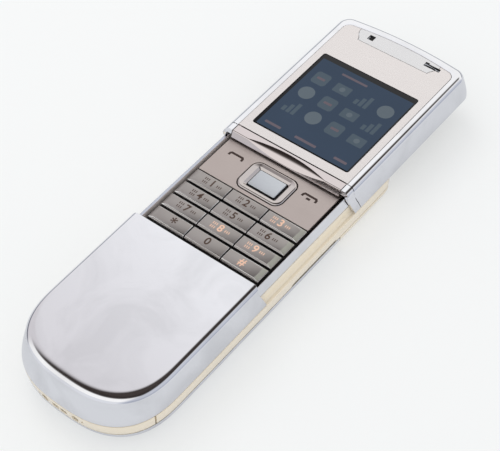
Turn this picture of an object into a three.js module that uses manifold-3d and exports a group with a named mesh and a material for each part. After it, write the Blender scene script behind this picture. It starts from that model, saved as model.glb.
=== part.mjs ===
// Slider phone, lying on its back with the display half slid open.
// X runs across the phone, Y from its bottom end to its display end, Z from its back to its front.
// The display half is drawn closed, over the base, and its group then slides it open.
// All lengths are millimetres.
import * as THREE from 'three';
import { mergeVertices } from 'three/addons/utils/BufferGeometryUtils.js';
import Module from 'manifold-3d';

const wasm = await Module();
wasm.setup();

// Whole phone
const closedLength = 115.5;
const displayLength = 60.9;
const bodyWidth = 46.2;
const bodyThickness = 17.5;

// Clearances and joints
const seamGap = 0.3;
const filmGap = 0.1;
const pressGap = 0.2;
const partingGap = 0.4;
const overrun = 4;

// Outline of the two ends
const endDepth = 21.2;
const endFullness = 2.65;
const topArch = 1.6;
const topCorner = 5;

// Polished front shells: lower cover and display shell
const partingLean = 1.2;
const shellWall = 0.8;
const skirtHeight = 8.3;
const sideRake = 0.8;
const bottomRake = 2.4;
const topRake = 1.3;
const edgeRadius = 1.4;

// Cream frame of the base
const frameHeight = 3.6;
const frameBulge = 0.3;
const frameWall = 1.2;
const deckThickness = 0.7;
const nestHeight = 3.3;
const nestInset = 1.35;
const nestWall = 0.85;
const nestBottomInset = 2.3;
const flareHeight = 0.8;
const flareLip = 0.5;
const sideSlotMargin = 29.1;
const sideSlotLength = 20;
const sideSlotHeight = 0.9;

// Bottom end cap and what shows through it
const capReach = 12;
const capJointGap = 0.5;
const portHeight = 1.75;
const portRecess = 0.75;
const jackPlace = 5.25;
const jackHoleRadius = 1.2;
const jackRadius = 1.05;
const jackBore = 0.85;
const jackPin = 0.3;
const jackLength = 5;
const microphoneHoleRadius = 1.1;
const microphoneLength = 1.8;
const connectorPitch = 2.8;
const connectorWidth = 2.3;
const connectorHeight = 1.5;
const connectorLength = 4.2;
const contactWidth = 0.3;
const contactStep = 0.6;
const latchHolePlace = 7.5;
const latchHoleRadius = 0.35;

// Back covers
const backWall = 0.9;
const backSideRound = 5.4;
const backEndRound = 8.5;
const antennaCoverLength = 27.5;
const tongueWidth = 7;
const tonguePlace = 9;
const tongueLength = 2.4;
const tongueThickness = 0.8;

// Polished rails beside the keypad
const railWidth = 1.3;
const railTaper = 0.65;
const railHeight = 3.3;
const railCrest = 0.2;
const railBevel = 0.45;
const railMargin = 10.7;

// Slide: rods in the base, shoes and blades on the display half
const rodInset = 3.5;
const rodRadius = 0.55;
const rodRise = 1.5;
const rodGap = 0.12;
const bossWidth = 2.7;
const lowerBossLength = 2.3;
const upperBossLength = 2.1;
const slideReserve = 9.7;
const shoeLength = 9.2;
const shoeWidth = 2;
const shoeHeight = 2.6;
const bladeThickness = 0.4;
const bladeOffset = 0.35;
const slidePlateThickness = 0.35;

// Keys
const keyTop = 15.3;
const keyRows = 4;
const keyFieldMargin = 2.35;
const keyFieldInset = 3.7;
const keyRowGap = 0.87;
const keyMiddleWidth = 12.5;
const keyColumnGap = 0.35;
const keyHeight = 2.4;
const keyCapHeight = 0.85;
const keyBevelHeight = 0.4;
const keyLowerBevel = 0.5;
const keyUpperBevel = 0.2;
const keyEndBevel = 1.7;
const keySideBevel = 0.08;
const keyNeckInset = 0.15;
const keyFlange = 0.4;
const keyFlangeHeight = 0.35;
const keyTravel = 0.35;

// Keypad frame
const keypadFrameThickness = 0.5;
const keypadFrameEdge = 0.35;
const keypadFrameMargin = 1.1;
const standoffInset = 3.1;
const standoffMargin = 1.6;
const standoffRadius = 1;

// Function plate, four-way ring and select key
const platePad = 0.4;
const plateThickness = 0.5;
const plateBevel = 0.15;
const plateMargin = 18.9;
const plateDepth = 18.04;
const plateDrop = 0.35;
const fulcrumWidth = 1.2;
const ringWidth = 15.6;
const ringDepth = 10.6;
const ringCorner = 2.6;
const ringRise = 6.64;
const ringGap = 0.45;
const ringOpeningCorner = 1.3;
const ringProud = 0.05;
const ringHeight = 1.75;
const ringEdgeDrop = 0.5;
const ringCrestInset = 0.95;
const ringBowlWidth = 11.4;
const ringBowlDepth = 7.6;
const selectWidth = 9.4;
const selectDepth = 6;
const selectCorner = 0.35;
const selectDrop = 0.2;
const selectHeight = 2.25;
const selectBevel = 0.15;
const selectGap = 0.3;
const actuatorBorder = 1.1;
const actuatorThickness = 0.4;

// Boards and what they carry
const matThickness = 0.35;
const matMargin = 3.6;
const domeRadius = 1.9;
const domeHeight = 0.3;
const domeSheetThickness = 0.12;
const boardThickness = 0.8;
const boardInset = 4.9;
const boardStart = 5.4;
const boardBossGap = 0.6;
const boardStepMargin = 2;
const boardMargin = 9.9;
const boardCorner = 2;
const canInset = 3.7;
const canHeight = 1.15;
const canWall = 0.25;
const canStartMargin = 3.9;
const canEndMargin = 3.1;
const canDivider = 21;

// Cover bosses and screws
const screwInset = 4.7;
const pegRow = 23;
const screwMargin = 9.1;
const bossRadius = 1.9;
const pilotRadius = 0.65;
const screwRadius = 0.5;
const screwHeadRadius = 1.2;
const screwHeadHeight = 0.8;
const screwReach = 4.6;
const screwSocketRadius = 0.5;
const screwSocketDepth = 0.4;
const pilotDepth = 6;
const pegRadius = 0.6;

// Battery bay
const batteryStart = 24;
const batteryMargin = 10;
const batteryInset = 6.6;
const batteryThickness = 5.4;
const batteryCorner = 1.2;
const contactBlockWidth = 9;
const contactBlockLength = 3;
const contactBlockHeight = 2.4;
const springWidth = 0.9;
const springPitch = 2.6;
const simWidth = 17;
const simLength = 15.5;
const simThickness = 0.8;
const simMargin = 26;
const simSlot = 0.4;
const simWindowShare = 0.6;

// Sound, antenna and vibration
const speakerWidth = 15;
const speakerLength = 11;
const speakerHeight = 3.8;
const speakerMargin = 2.5;
const speakerCorner = 2;
const speakerConeRadius = 4.6;
const speakerConeDepth = 1;
const speakerDomeRadius = 2;
const antennaInset = 4.1;
const antennaStrip = 3.4;
const antennaLeg = 12;
const antennaMargin = 5;
const antennaThickness = 0.4;
const motorRadius = 2.2;
const motorLength = 8;
const motorPlace = -8;
const motorMargin = 21.6;
const motorShaftRadius = 0.35;
const motorShaftLength = 3.9;
const weightRadius = 2.1;
const weightLength = 3;
const weightHub = 0.9;

// Display half
const roofDrop = 1.1;
const lipLength = 2.7;
const lipThickness = 1.85;
const lipSlant = 0.95;
const lipInset = 4;
const lipJointGap = 0.25;
const lipEdge = 0.35;
const scoopInset = 4.9;
const scoopDepth = 2.05;
const scoopRim = 0.25;
const scoopBow = 0.3;
const facePlateInset = 3.8;
const facePlateThickness = 0.5;
const facePlateMargin = 1.9;
const facePlateCorner = 2.4;
const facePlateArch = 1.6;
const windowBorder = 2.3;
const windowRise = 3;
const windowHeadroom = 10.3;
const windowCorner = 0.8;
const glassThickness = 0.4;
const glassLedge = 0.7;
const moduleThickness = 0.7;
const panelInset = 6.9;
const panelHeight = 5.2;
const panelFlare = 1.8;
const panelLine = 0.12;
const squareHole = 2;
const squareHoleInset = 2.95;
const earSlotWidth = 5.4;
const earSlotHeight = 1.3;
const earSlotStep = 0.4;
const earSlotInset = 0.1;
const holeRow = 2.8;
const receiverWidth = 7;
const receiverLength = 4.2;
const receiverThickness = 0.6;
const sensorThickness = 0.7;

// Camera in the back of the display half
const podInset = 5.6;
const podMargin = 17.7;
const podLength = 11;
const podHeight = 3.1;
const podWall = 0.6;
const podCorner = 3;
const cameraSize = 8;
const cameraHeight = 1.9;
const cameraRingRadius = 3.2;
const cameraBore = 2.2;
const lensThickness = 0.35;
const cameraRecess = 0.4;

// Fineness of curves
const endSteps = 30;
const cornerSteps = 5;
const archSteps = 6;
const rakeSteps = 3;
const edgeSteps = 4;
const roundSteps = 5;
const rakePower = 1.6;
const circleSides = 20;
const smallSides = 12;
const hexSides = 6;
const scoopSides = 360;
const scoopSteps = 3;

// Heights worked out from the layers, from the back upwards
const skirtFoot = bodyThickness - skirtHeight;
const ledge = skirtFoot - seamGap;
const frameFoot = ledge - frameHeight;
const backEdge = frameFoot - seamGap;
const deckUnder = ledge - deckThickness;
const nestTop = ledge + nestHeight;
const rodHeight = ledge + rodRise;
const keyFoot = keyTop - keyHeight;
const frameUnder = keyFoot + keyFlangeHeight + seamGap;
const matTop = keyFoot - keyTravel - filmGap;
const matUnder = matTop - matThickness;
const boardTop = matUnder - filmGap - domeHeight - domeSheetThickness;
const boardUnder = boardTop - boardThickness;
const portMiddle = frameFoot + portHeight;
const bossFoot = deckUnder + deckThickness / 2;
const facePlateTop = bodyThickness;
const facePlateUnder = facePlateTop - facePlateThickness;
const shelfTop = facePlateUnder - filmGap;
const roof = bodyThickness - roofDrop;
const moduleTop = shelfTop - filmGap;
const slidePlateUnder = bodyThickness - lipThickness;
const slidePlateTop = slidePlateUnder + slidePlateThickness;
const moduleUnder = moduleTop - moduleThickness;

// Places along Y in the base, worked out from its two ends and the cover's edge
const coverLength = closedLength - displayLength;
const lipStart = coverLength + partingGap;
const lipEnd = lipStart + lipLength;
const screwRow = coverLength - screwMargin;
const motorStart = coverLength - motorMargin;
const plateEnd = closedLength - plateMargin;
const functionStart = plateEnd - plateDepth;
const ringMiddle = functionStart + ringRise;
const keyFieldStart = coverLength + keyFieldMargin;
const keyFieldEnd = functionStart - platePad;
const keyPitch = (keyFieldEnd - keyFieldStart + keyRowGap) / keyRows;
const keyDepth = keyPitch - keyRowGap;
const keypadFrameStart = coverLength + keypadFrameMargin;
const keypadFrameEnd = plateEnd + platePad;
const standoffStart = plateEnd - standoffMargin;
const matEnd = plateEnd - matMargin;
const boardNarrowEnd = coverLength - boardStepMargin;
const boardEnd = closedLength - boardMargin;
const canStart = coverLength + canStartMargin;
const canLength = boardEnd - canEndMargin - canStart;
const railEnd = closedLength - railMargin;
const sideSlotStart = closedLength - sideSlotMargin - sideSlotLength;
const batteryCoverLength = closedLength - antennaCoverLength;
const batteryLength = batteryCoverLength - batteryMargin - batteryStart;
const simStart = batteryStart + batteryLength - simMargin;
const speakerStart = batteryCoverLength + speakerMargin;
const antennaEnd = closedLength - antennaMargin;

// Places along Y in the display half when it is closed, and how far it slides
const facePlateStart = lipEnd + seamGap;
const facePlateEnd = closedLength - topRake - edgeRadius - facePlateMargin;
const panelStart = facePlateEnd - panelHeight;
const panelMiddle = panelStart + holeRow;
const windowStart = facePlateStart + windowRise;
const windowLength = panelStart - windowHeadroom - windowStart;
const podStart = closedLength - podMargin;
const cameraPlace = podStart + podLength / 2;
const shoeStart = facePlateStart;
const slideTravel = closedLength - slideReserve - shoeLength - shoeStart;
const shoeEndOpen = shoeStart + shoeLength + slideTravel;
const lowerBossPlace = shoeStart - seamGap;
const upperBossPlace = shoeEndOpen + seamGap;

// Widths and places across, worked out from the body's width
const rodPlace = bodyWidth / 2 - rodInset;
const screwPlace = bodyWidth / 2 - screwInset;
const keyFieldWidth = bodyWidth - 2 * keyFieldInset;
const standoffPlace = keyFieldWidth / 2 - standoffInset;
const boardWidth = bodyWidth - 2 * boardInset;
const boardNarrowWidth = 2 * (screwPlace - bossRadius - boardBossGap);
const canWidth = boardWidth - 2 * canInset;
const batteryWidth = bodyWidth - 2 * batteryInset;
const antennaWidth = bodyWidth - 2 * antennaInset;
const lipWidth = bodyWidth - 2 * lipInset;
const scoopWidth = lipWidth - 2 * scoopInset;
const facePlateWidth = bodyWidth - 2 * facePlateInset;
const windowWidth = facePlateWidth - 2 * windowBorder;
const panelWidth = facePlateWidth - 2 * panelInset;
const squareHolePlace = squareHoleInset - panelWidth / 2;
const earSlotPlace = panelWidth / 2 - earSlotInset;
const podWidth = bodyWidth - 2 * podInset;

// Turns a closed geometry into a solid that can be joined and cut.
function toSolid(geometry) {
  const plain = geometry.clone();
  plain.deleteAttribute('normal');
  plain.deleteAttribute('uv');
  const merged = mergeVertices(plain);
  const mesh = new wasm.Mesh({
    numProp: 3,
    vertProperties: new Float32Array(merged.attributes.position.array),
    triVerts: new Uint32Array(merged.index.array),
  });
  return new wasm.Manifold(mesh);
}

// Gives a solid back as a geometry for a mesh.
function toGeometry(solid) {
  const mesh = solid.getMesh();
  const geometry = new THREE.BufferGeometry();
  const positions = new Float32Array(mesh.numVert * 3);
  for (let i = 0; i < mesh.numVert; i++) {
    for (let k = 0; k < 3; k++) positions[i * 3 + k] = mesh.vertProperties[i * mesh.numProp + k];
  }
  geometry.setAttribute('position', new THREE.BufferAttribute(positions, 3));
  geometry.setIndex(Array.from(mesh.triVerts));
  geometry.computeVertexNormals();
  return geometry;
}

function join(first, ...others) {
  return others.reduce((sum, solid) => sum.add(solid), first);
}

function cut(first, ...others) {
  return others.reduce((rest, solid) => rest.subtract(solid), first);
}

// Mirrors a right-hand piece to the left-hand side.
function mirrored(solid) {
  const geometry = toGeometry(solid);
  geometry.scale(-1, 1, 1);
  const index = geometry.index.array;
  for (let i = 0; i < index.length; i += 3) {
    [index[i], index[i + 1]] = [index[i + 1], index[i]];
  }
  return toSolid(geometry);
}

function bothSides(solid) {
  return join(solid, mirrored(solid));
}

// A box between two corners.
function block(x0, x1, y0, y1, z0, z1) {
  const geometry = new THREE.BoxGeometry(x1 - x0, y1 - y0, z1 - z0);
  geometry.translate((x0 + x1) / 2, (y0 + y1) / 2, (z0 + z1) / 2);
  return toSolid(geometry);
}

// A flat outline of [x, y] points, raised from z0 to z1.
function prism(points, z0, z1) {
  const shape = new THREE.Shape(points.map(([x, y]) => new THREE.Vector2(x, y)));
  const geometry = new THREE.ExtrudeGeometry(shape, { depth: z1 - z0, bevelEnabled: false });
  geometry.translate(0, 0, z0);
  return toSolid(geometry);
}

// An outline of [y, z] points, carried along X from x0 to x1.
function prismAcross(points, x0, x1) {
  const shape = new THREE.Shape(points.map(([y, z]) => new THREE.Vector2(y, z)));
  const geometry = new THREE.ExtrudeGeometry(shape, { depth: x1 - x0, bevelEnabled: false });
  geometry.applyMatrix4(new THREE.Matrix4().set(0, 0, 1, x0, 1, 0, 0, 0, 0, 1, 0, 0, 0, 0, 0, 1));
  return toSolid(geometry);
}

// An outline of [x, z] points, carried along Y from y0 to y1.
function prismAlong(points, y0, y1) {
  const shape = new THREE.Shape(points.map(([x, z]) => new THREE.Vector2(x, z)));
  const geometry = new THREE.ExtrudeGeometry(shape, { depth: y1 - y0, bevelEnabled: false });
  geometry.applyMatrix4(new THREE.Matrix4().set(1, 0, 0, 0, 0, 0, -1, y1, 0, 1, 0, 0, 0, 0, 0, 1));
  return toSolid(geometry);
}

// A rounded rectangle about (x, y), as [x, y] points.
function roundedOutline(x, y, width, depth, radius, steps = cornerSteps) {
  const points = [];
  const corners = [[1, -1], [1, 1], [-1, 1], [-1, -1]];
  corners.forEach(([sx, sy], quarter) => {
    const cx = x + sx * (width / 2 - radius);
    const cy = y + sy * (depth / 2 - radius);
    for (let i = 0; i <= steps; i++) {
      const angle = (Math.PI / 2) * (quarter - 1 + i / steps);
      points.push([cx + radius * Math.cos(angle), cy + radius * Math.sin(angle)]);
    }
  });
  return points;
}

function roundedBlock(x, y, width, depth, radius, z0, z1) {
  return prism(roundedOutline(x, y, width, depth, radius), z0, z1);
}

function upright(radius, x, y, z0, z1, sides = smallSides) {
  const geometry = new THREE.CylinderGeometry(radius, radius, z1 - z0, sides);
  geometry.rotateX(Math.PI / 2);
  geometry.translate(x, y, (z0 + z1) / 2);
  return toSolid(geometry);
}

function lengthwise(radius, x, z, y0, y1, sides = smallSides) {
  const geometry = new THREE.CylinderGeometry(radius, radius, y1 - y0, sides);
  geometry.translate(x, (y0 + y1) / 2, z);
  return toSolid(geometry);
}

// Skins a stack of outlines, each with the same number of points, from the lowest up.
function loft(levels) {
  const count = levels[0].points.length;
  const positions = [];
  const index = [];
  levels.forEach(({ z, points }) => points.forEach(([x, y]) => positions.push(x, y, z)));
  for (let level = 0; level < levels.length - 1; level++) {
    for (let i = 0; i < count; i++) {
      const a = level * count + i;
      const b = level * count + (i + 1) % count;
      index.push(a, b, b + count, a, b + count, a + count);
    }
  }
  const top = (levels.length - 1) * count;
  [[0, levels[0], true], [top, levels[levels.length - 1], false]].forEach(([start, level, under]) => {
    const middle = positions.length / 3;
    const sum = level.points.reduce(([sx, sy], [x, y]) => [sx + x, sy + y], [0, 0]);
    positions.push(sum[0] / count, sum[1] / count, level.z);
    for (let i = 0; i < count; i++) {
      const a = start + i;
      const b = start + (i + 1) % count;
      index.push(...(under ? [middle, b, a] : [middle, a, b]));
    }
  });
  const geometry = new THREE.BufferGeometry();
  geometry.setAttribute('position', new THREE.BufferAttribute(new Float32Array(positions), 3));
  geometry.setIndex(index);
  return toSolid(geometry);
}

// Outline of the phone at one height: a U-shaped bottom end fuller than an ellipse, straight sides,
// and a gently arched top end with round corners.
function bodyRing({ half, low, depth, high, corner }) {
  const points = [];
  for (let i = 0; i <= endSteps; i++) {
    const turn = Math.PI * i / endSteps;
    const across = Math.abs(Math.cos(turn)) ** (2 / endFullness) * Math.sign(Math.cos(turn));
    points.push([-half * across, low + depth * (1 - Math.sin(turn) ** (2 / endFullness))]);
  }
  const arch = (x) => high - topArch * (x / half) ** 2;
  const inner = half - corner;
  for (let i = 0; i <= cornerSteps; i++) {
    const turn = (Math.PI / 2) * i / cornerSteps;
    points.push([inner + corner * Math.cos(turn), arch(inner) - corner + corner * Math.sin(turn)]);
  }
  for (let i = 1; i < archSteps; i++) {
    const x = inner * (1 - 2 * i / archSteps);
    points.push([x, arch(x)]);
  }
  for (let i = 0; i <= cornerSteps; i++) {
    const turn = (Math.PI / 2) * (1 + i / cornerSteps);
    points.push([-inner + corner * Math.cos(turn), arch(inner) - corner + corner * Math.sin(turn)]);
  }
  return points;
}

// Body outline drawn in from the widest one: by side all round, and more at either end.
function insetRing(z, side, bottom, top) {
  return {
    z,
    points: bodyRing({
      half: bodyWidth / 2 - side,
      low: bottom,
      depth: endDepth - side,
      high: closedLength - top,
      corner: topCorner - Math.min(side, topCorner / 2),
    }),
  };
}

// The front of the closed phone, or the hollow inside it when offset is the wall.
function frontBody(offset) {
  const levels = [];
  const shoulder = bodyThickness - edgeRadius;
  const level = (z, lean, extra) => insetRing(
    z,
    sideRake * lean + extra + offset,
    bottomRake * lean + extra + offset,
    topRake * lean + extra + offset,
  );
  if (offset > 0) levels.push(level(skirtFoot - overrun, 0, 0));
  for (let i = 0; i <= rakeSteps; i++) {
    const share = i / rakeSteps;
    levels.push(level(skirtFoot + (shoulder - skirtFoot) * share, share ** rakePower, 0));
  }
  for (let i = 1; i <= edgeSteps; i++) {
    const turn = (Math.PI / 2) * i / edgeSteps;
    levels.push(level(shoulder + edgeRadius * Math.sin(turn), 1, edgeRadius * (1 - Math.cos(turn))));
  }
  return loft(levels);
}

// Where the lower cover ends at one height: its edge runs in under the front to the lip's nose,
// then out again towards the skirt's foot.
function partingAt(z) {
  if (z > slidePlateUnder) return coverLength - lipSlant * (bodyThickness - z) / lipThickness;
  const nose = coverLength - lipSlant;
  return nose + (partingLean + lipSlant) * (slidePlateUnder - z) / (slidePlateUnder - skirtFoot);
}

// The space on one side of that edge, moved along by shift: -1 is the cover's, 1 is the display half's.
function pastParting(shift, side) {
  const heights = [skirtFoot - overrun, slidePlateUnder, bodyThickness + overrun];
  const edge = heights.map((z) => [partingAt(z) + shift, z]);
  const far = side < 0 ? -overrun : closedLength + overrun;
  const back = [[far, heights[2]], [far, heights[0]]];
  const outline = [...edge, ...back];
  return prismAcross(side < 0 ? outline : outline.reverse(), -bodyWidth, bodyWidth);
}

function below(z) {
  return block(-bodyWidth, bodyWidth, -overrun, closedLength + overrun, -overrun, z);
}

const frontSolid = frontBody(0);
const frontHollow = frontBody(shellWall);

// Polished lower cover with its end wall, screw bosses and U-shaped end.
function lowerFrontCover() {
  const skin = frontSolid.intersect(pastParting(0, -1));
  const room = frontHollow.intersect(below(bodyThickness - shellWall));
  const behindEndWall = room.intersect(pastParting(-shellWall, -1));
  const underEndWall = room.intersect(below(nestTop + seamGap));
  let cover = cut(skin, behindEndWall, underEndWall);
  const roofHigh = bodyThickness - shellWall / 2;
  for (const y of [pegRow, screwRow]) {
    const boss = upright(bossRadius, screwPlace, y, skirtFoot, roofHigh, circleSides);
    cover = join(cover, bothSides(boss));
  }
  const peg = upright(pegRadius, screwPlace, pegRow, deckUnder + filmGap, skirtFoot + pegRadius);
  const pilot = upright(pilotRadius, screwPlace, screwRow, skirtFoot - overrun, skirtFoot + pilotDepth);
  return cut(join(cover, bothSides(peg)), bothSides(pilot));
}

// Outline of the part of the base that nests inside the front shells.
function nestRing(z, offset) {
  return insetRing(z, nestInset + offset, nestBottomInset + offset, nestInset + seamGap + offset);
}

function frameRing(z, offset) {
  const share = (ledge - z) / frameHeight;
  const inset = frameBulge * share ** 2 + offset;
  return insetRing(z, inset, inset, inset);
}

// Cream frame: a ring of full width low down, a narrower nest above it and a deck between them.
function midFrame() {
  const nestOuter = (z) => nestRing(z, 0);
  const levels = [
    frameRing(frameFoot, 0),
    frameRing((frameFoot + ledge) / 2, 0),
    frameRing(ledge, 0),
    nestRing(ledge + filmGap, -flareLip),
    nestRing(ledge + flareHeight / 2, -filmGap),
    nestOuter(ledge + flareHeight),
    nestOuter(nestTop),
  ];
  const lowerRoom = loft([
    { ...frameRing(frameFoot, frameWall), z: frameFoot - overrun },
    frameRing(frameFoot, frameWall),
    frameRing(deckUnder, frameWall),
  ]);
  const upperRoom = loft([nestRing(ledge, nestWall), nestRing(nestTop + overrun, nestWall)]);
  let frame = cut(loft(levels), lowerRoom, upperRoom);
  const nestBody = loft([nestOuter(deckUnder), nestOuter(nestTop)]);
  const standoff = upright(standoffRadius, standoffPlace, standoffStart, bossFoot, nestTop);
  const lowerBoss = block(
    rodPlace - bossWidth / 2, rodPlace + bossWidth / 2 + nestWall / 2,
    lowerBossPlace - lowerBossLength, lowerBossPlace, bossFoot, nestTop,
  );
  const upperBoss = block(
    rodPlace - bossWidth / 2, rodPlace + bossWidth,
    upperBossPlace, upperBossPlace + upperBossLength + overrun, bossFoot, nestTop,
  );
  frame = join(frame, bothSides(join(lowerBoss, upperBoss, standoff).intersect(nestBody)));
  const rodHole = lengthwise(
    rodRadius + rodGap, rodPlace, rodHeight,
    lowerBossPlace - lowerBossLength - overrun, upperBossPlace + upperBossLength - rodRadius,
  );
  const slotMiddle = sideSlotStart + sideSlotLength / 2;
  const slot = prismAcross(
    roundedOutline(slotMiddle, frameFoot, sideSlotLength, 2 * sideSlotHeight, sideSlotHeight),
    bodyWidth / 2 - frameWall - overrun, bodyWidth,
  );
  const capRoom = cut(
    block(-bodyWidth, bodyWidth, -bodyWidth, bodyWidth, frameFoot - overrun, ledge + flareHeight),
    loft([
      { ...frameRing(frameFoot, frameWall + seamGap), z: frameFoot - 2 * overrun },
      frameRing(frameFoot, frameWall + seamGap),
      { ...frameRing(ledge, frameWall + seamGap), z: ledge + 2 * overrun },
    ]),
  ).intersect(block(-bodyWidth, bodyWidth, -bodyWidth, capReach + capJointGap, -bodyWidth, bodyWidth));
  frame = cut(frame, bothSides(rodHole), bothSides(slot), capRoom);
  for (const y of [pegRow, screwRow]) {
    const hole = upright(pilotRadius + seamGap, screwPlace, y, deckUnder - overrun, ledge + seamGap);
    frame = cut(frame, bothSides(hole));
  }
  const cableWindow = roundedBlock(
    0, batteryStart + batteryLength + contactBlockLength / 2, contactBlockWidth,
    contactBlockLength, contactWidth, deckUnder - overrun, ledge + seamGap,
  );
  return cut(frame, cableWindow);
}

// Cream end cap with its row of holes.
function bottomEndCap() {
  const outer = loft([
    frameRing(frameFoot, 0),
    frameRing((frameFoot + ledge) / 2, 0),
    frameRing(ledge, 0),
  ]);
  const room = loft([
    { ...frameRing(frameFoot, frameWall), z: frameFoot - overrun },
    frameRing(frameFoot, frameWall),
    { ...frameRing(ledge, frameWall), z: ledge + overrun },
  ]);
  const cap = cut(outer, room).intersect(
    block(-bodyWidth, bodyWidth, -overrun, capReach, frameFoot - overrun, ledge + overrun),
  );
  const through = (radius, x) => lengthwise(radius, x, portMiddle, -overrun, frameWall + overrun);
  const window = prismAlong(
    roundedOutline(connectorPitch / 2, portMiddle, connectorWidth, connectorHeight, contactWidth),
    -overrun, frameWall + overrun,
  );
  return cut(
    cap,
    through(jackHoleRadius, -jackPlace),
    through(microphoneHoleRadius, jackPlace),
    bothSides(through(latchHoleRadius, latchHolePlace)),
    bothSides(window),
  );
}

const portFace = frameWall + portRecess;

function chargingJack() {
  const tube = lengthwise(jackRadius, -jackPlace, portMiddle, portFace, portFace + jackLength, circleSides);
  const bore = lengthwise(
    jackBore, -jackPlace, portMiddle, portFace - overrun, portFace + jackLength - jackBore,
  );
  const pin = lengthwise(
    jackPin, -jackPlace, portMiddle, portFace + jackPin, portFace + jackLength - jackBore / 2,
  );
  return join(cut(tube, bore), pin);
}

function systemConnector() {
  const width = connectorPitch + connectorWidth + 2 * contactWidth;
  const height = connectorHeight + 2 * contactWidth;
  let body = block(
    -width / 2, width / 2, portFace, portFace + connectorLength,
    portMiddle - height / 2, portMiddle + height / 2,
  );
  const socket = block(
    connectorPitch / 2 - connectorWidth / 2, connectorPitch / 2 + connectorWidth / 2,
    portFace - overrun, portFace + connectorLength / 2,
    portMiddle - connectorHeight / 2, portMiddle + connectorHeight / 2,
  );
  body = cut(body, bothSides(socket));
  for (const step of [-1, 0, 1]) {
    const x = connectorPitch / 2 + step * contactStep;
    const blade = block(
      x - contactWidth / 2, x + contactWidth / 2,
      portFace + contactWidth, portFace + connectorLength / 2 + contactWidth,
      portMiddle - contactWidth, portMiddle + contactWidth,
    );
    body = join(body, bothSides(blade));
  }
  return body;
}

function microphone() {
  const can = lengthwise(jackRadius, jackPlace, portMiddle, portFace, portFace + microphoneLength, circleSides);
  const port = lengthwise(
    latchHoleRadius, jackPlace, portMiddle, portFace - overrun, portFace + microphoneLength / 2,
  );
  return cut(can, port);
}

// The back of the phone, or the hollow inside it, between the two covers' shared outlines.
function backBody(offset) {
  const levels = [];
  for (let i = 0; i <= roundSteps; i++) {
    const turn = (Math.PI / 2) * (1 - i / roundSteps);
    const roundShare = 1 - Math.cos(turn);
    levels.push(insetRing(
      backEdge * (1 - Math.sin(turn)) + offset * Math.sin(turn),
      frameBulge + backSideRound * roundShare + offset,
      frameBulge + backEndRound * roundShare + offset,
      frameBulge + backEndRound * roundShare + offset,
    ));
  }
  if (offset > 0) levels.push({ ...levels[levels.length - 1], z: backEdge + overrun });
  return loft(levels);
}

const backShell = cut(backBody(0), backBody(backWall));

function backSlice(y0, y1) {
  return backShell.intersect(block(-bodyWidth, bodyWidth, y0, y1, -overrun, backEdge + overrun));
}

function batteryCover() {
  const shell = backSlice(-overrun, batteryCoverLength);
  const low = backWall + filmGap;
  const tongue = block(
    tonguePlace - tongueWidth / 2, tonguePlace + tongueWidth / 2,
    batteryCoverLength - tongueLength, batteryCoverLength + tongueLength,
    low, low + tongueThickness,
  );
  const root = block(
    tonguePlace - tongueWidth / 2, tonguePlace + tongueWidth / 2,
    batteryCoverLength - tongueLength, batteryCoverLength - tongueThickness,
    backWall / 2, low + tongueThickness / 2,
  );
  return join(shell, bothSides(join(tongue, root)));
}

function antennaCover() {
  return backSlice(batteryCoverLength + seamGap, closedLength + overrun);
}

// Polished rail beside the keys, standing on the nest's wall.
function sideRail() {
  const outside = bodyWidth / 2 - nestInset;
  const inside = outside - railWidth;
  const foot = nestTop + seamGap;
  const head = foot + railHeight;
  const profile = [
    [inside, foot],
    [outside, foot],
    [outside - railTaper, head - railBevel],
    [inside + railCrest, head],
    [inside, head - railCrest],
  ];
  return prismAlong(profile, coverLength, railEnd).intersect(pastParting(seamGap, 1));
}

function guideRod() {
  return lengthwise(
    rodRadius, rodPlace, rodHeight,
    lowerBossPlace - lowerBossLength + seamGap, upperBossPlace + upperBossLength - rodRadius - seamGap,
    circleSides,
  );
}

const bladeInside = rodPlace + bladeOffset - bladeThickness / 2;
const shoeTop = rodHeight + shoeHeight / 2 + pressGap;
const shoeFoot = shoeTop - shoeHeight;
const grooveFoot = rodHeight + rodRadius + rodGap + pressGap;

// Low-friction shoe that runs on the rod, with a groove for the blade.
function slideShoe() {
  const shoe = block(
    rodPlace - shoeWidth / 2, rodPlace + shoeWidth / 2,
    shoeStart, shoeStart + shoeLength, shoeFoot, shoeTop,
  );
  const bore = lengthwise(
    rodRadius + rodGap, rodPlace, rodHeight,
    shoeStart - overrun, shoeStart + shoeLength + overrun, circleSides,
  );
  const groove = block(
    bladeInside - filmGap, bladeInside + bladeThickness + filmGap,
    shoeStart - overrun, shoeStart + shoeLength + overrun, grooveFoot, shoeTop + overrun,
  );
  return cut(shoe, bore, groove);
}

const keypadFrameTop = frameUnder + keypadFrameThickness;

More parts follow.
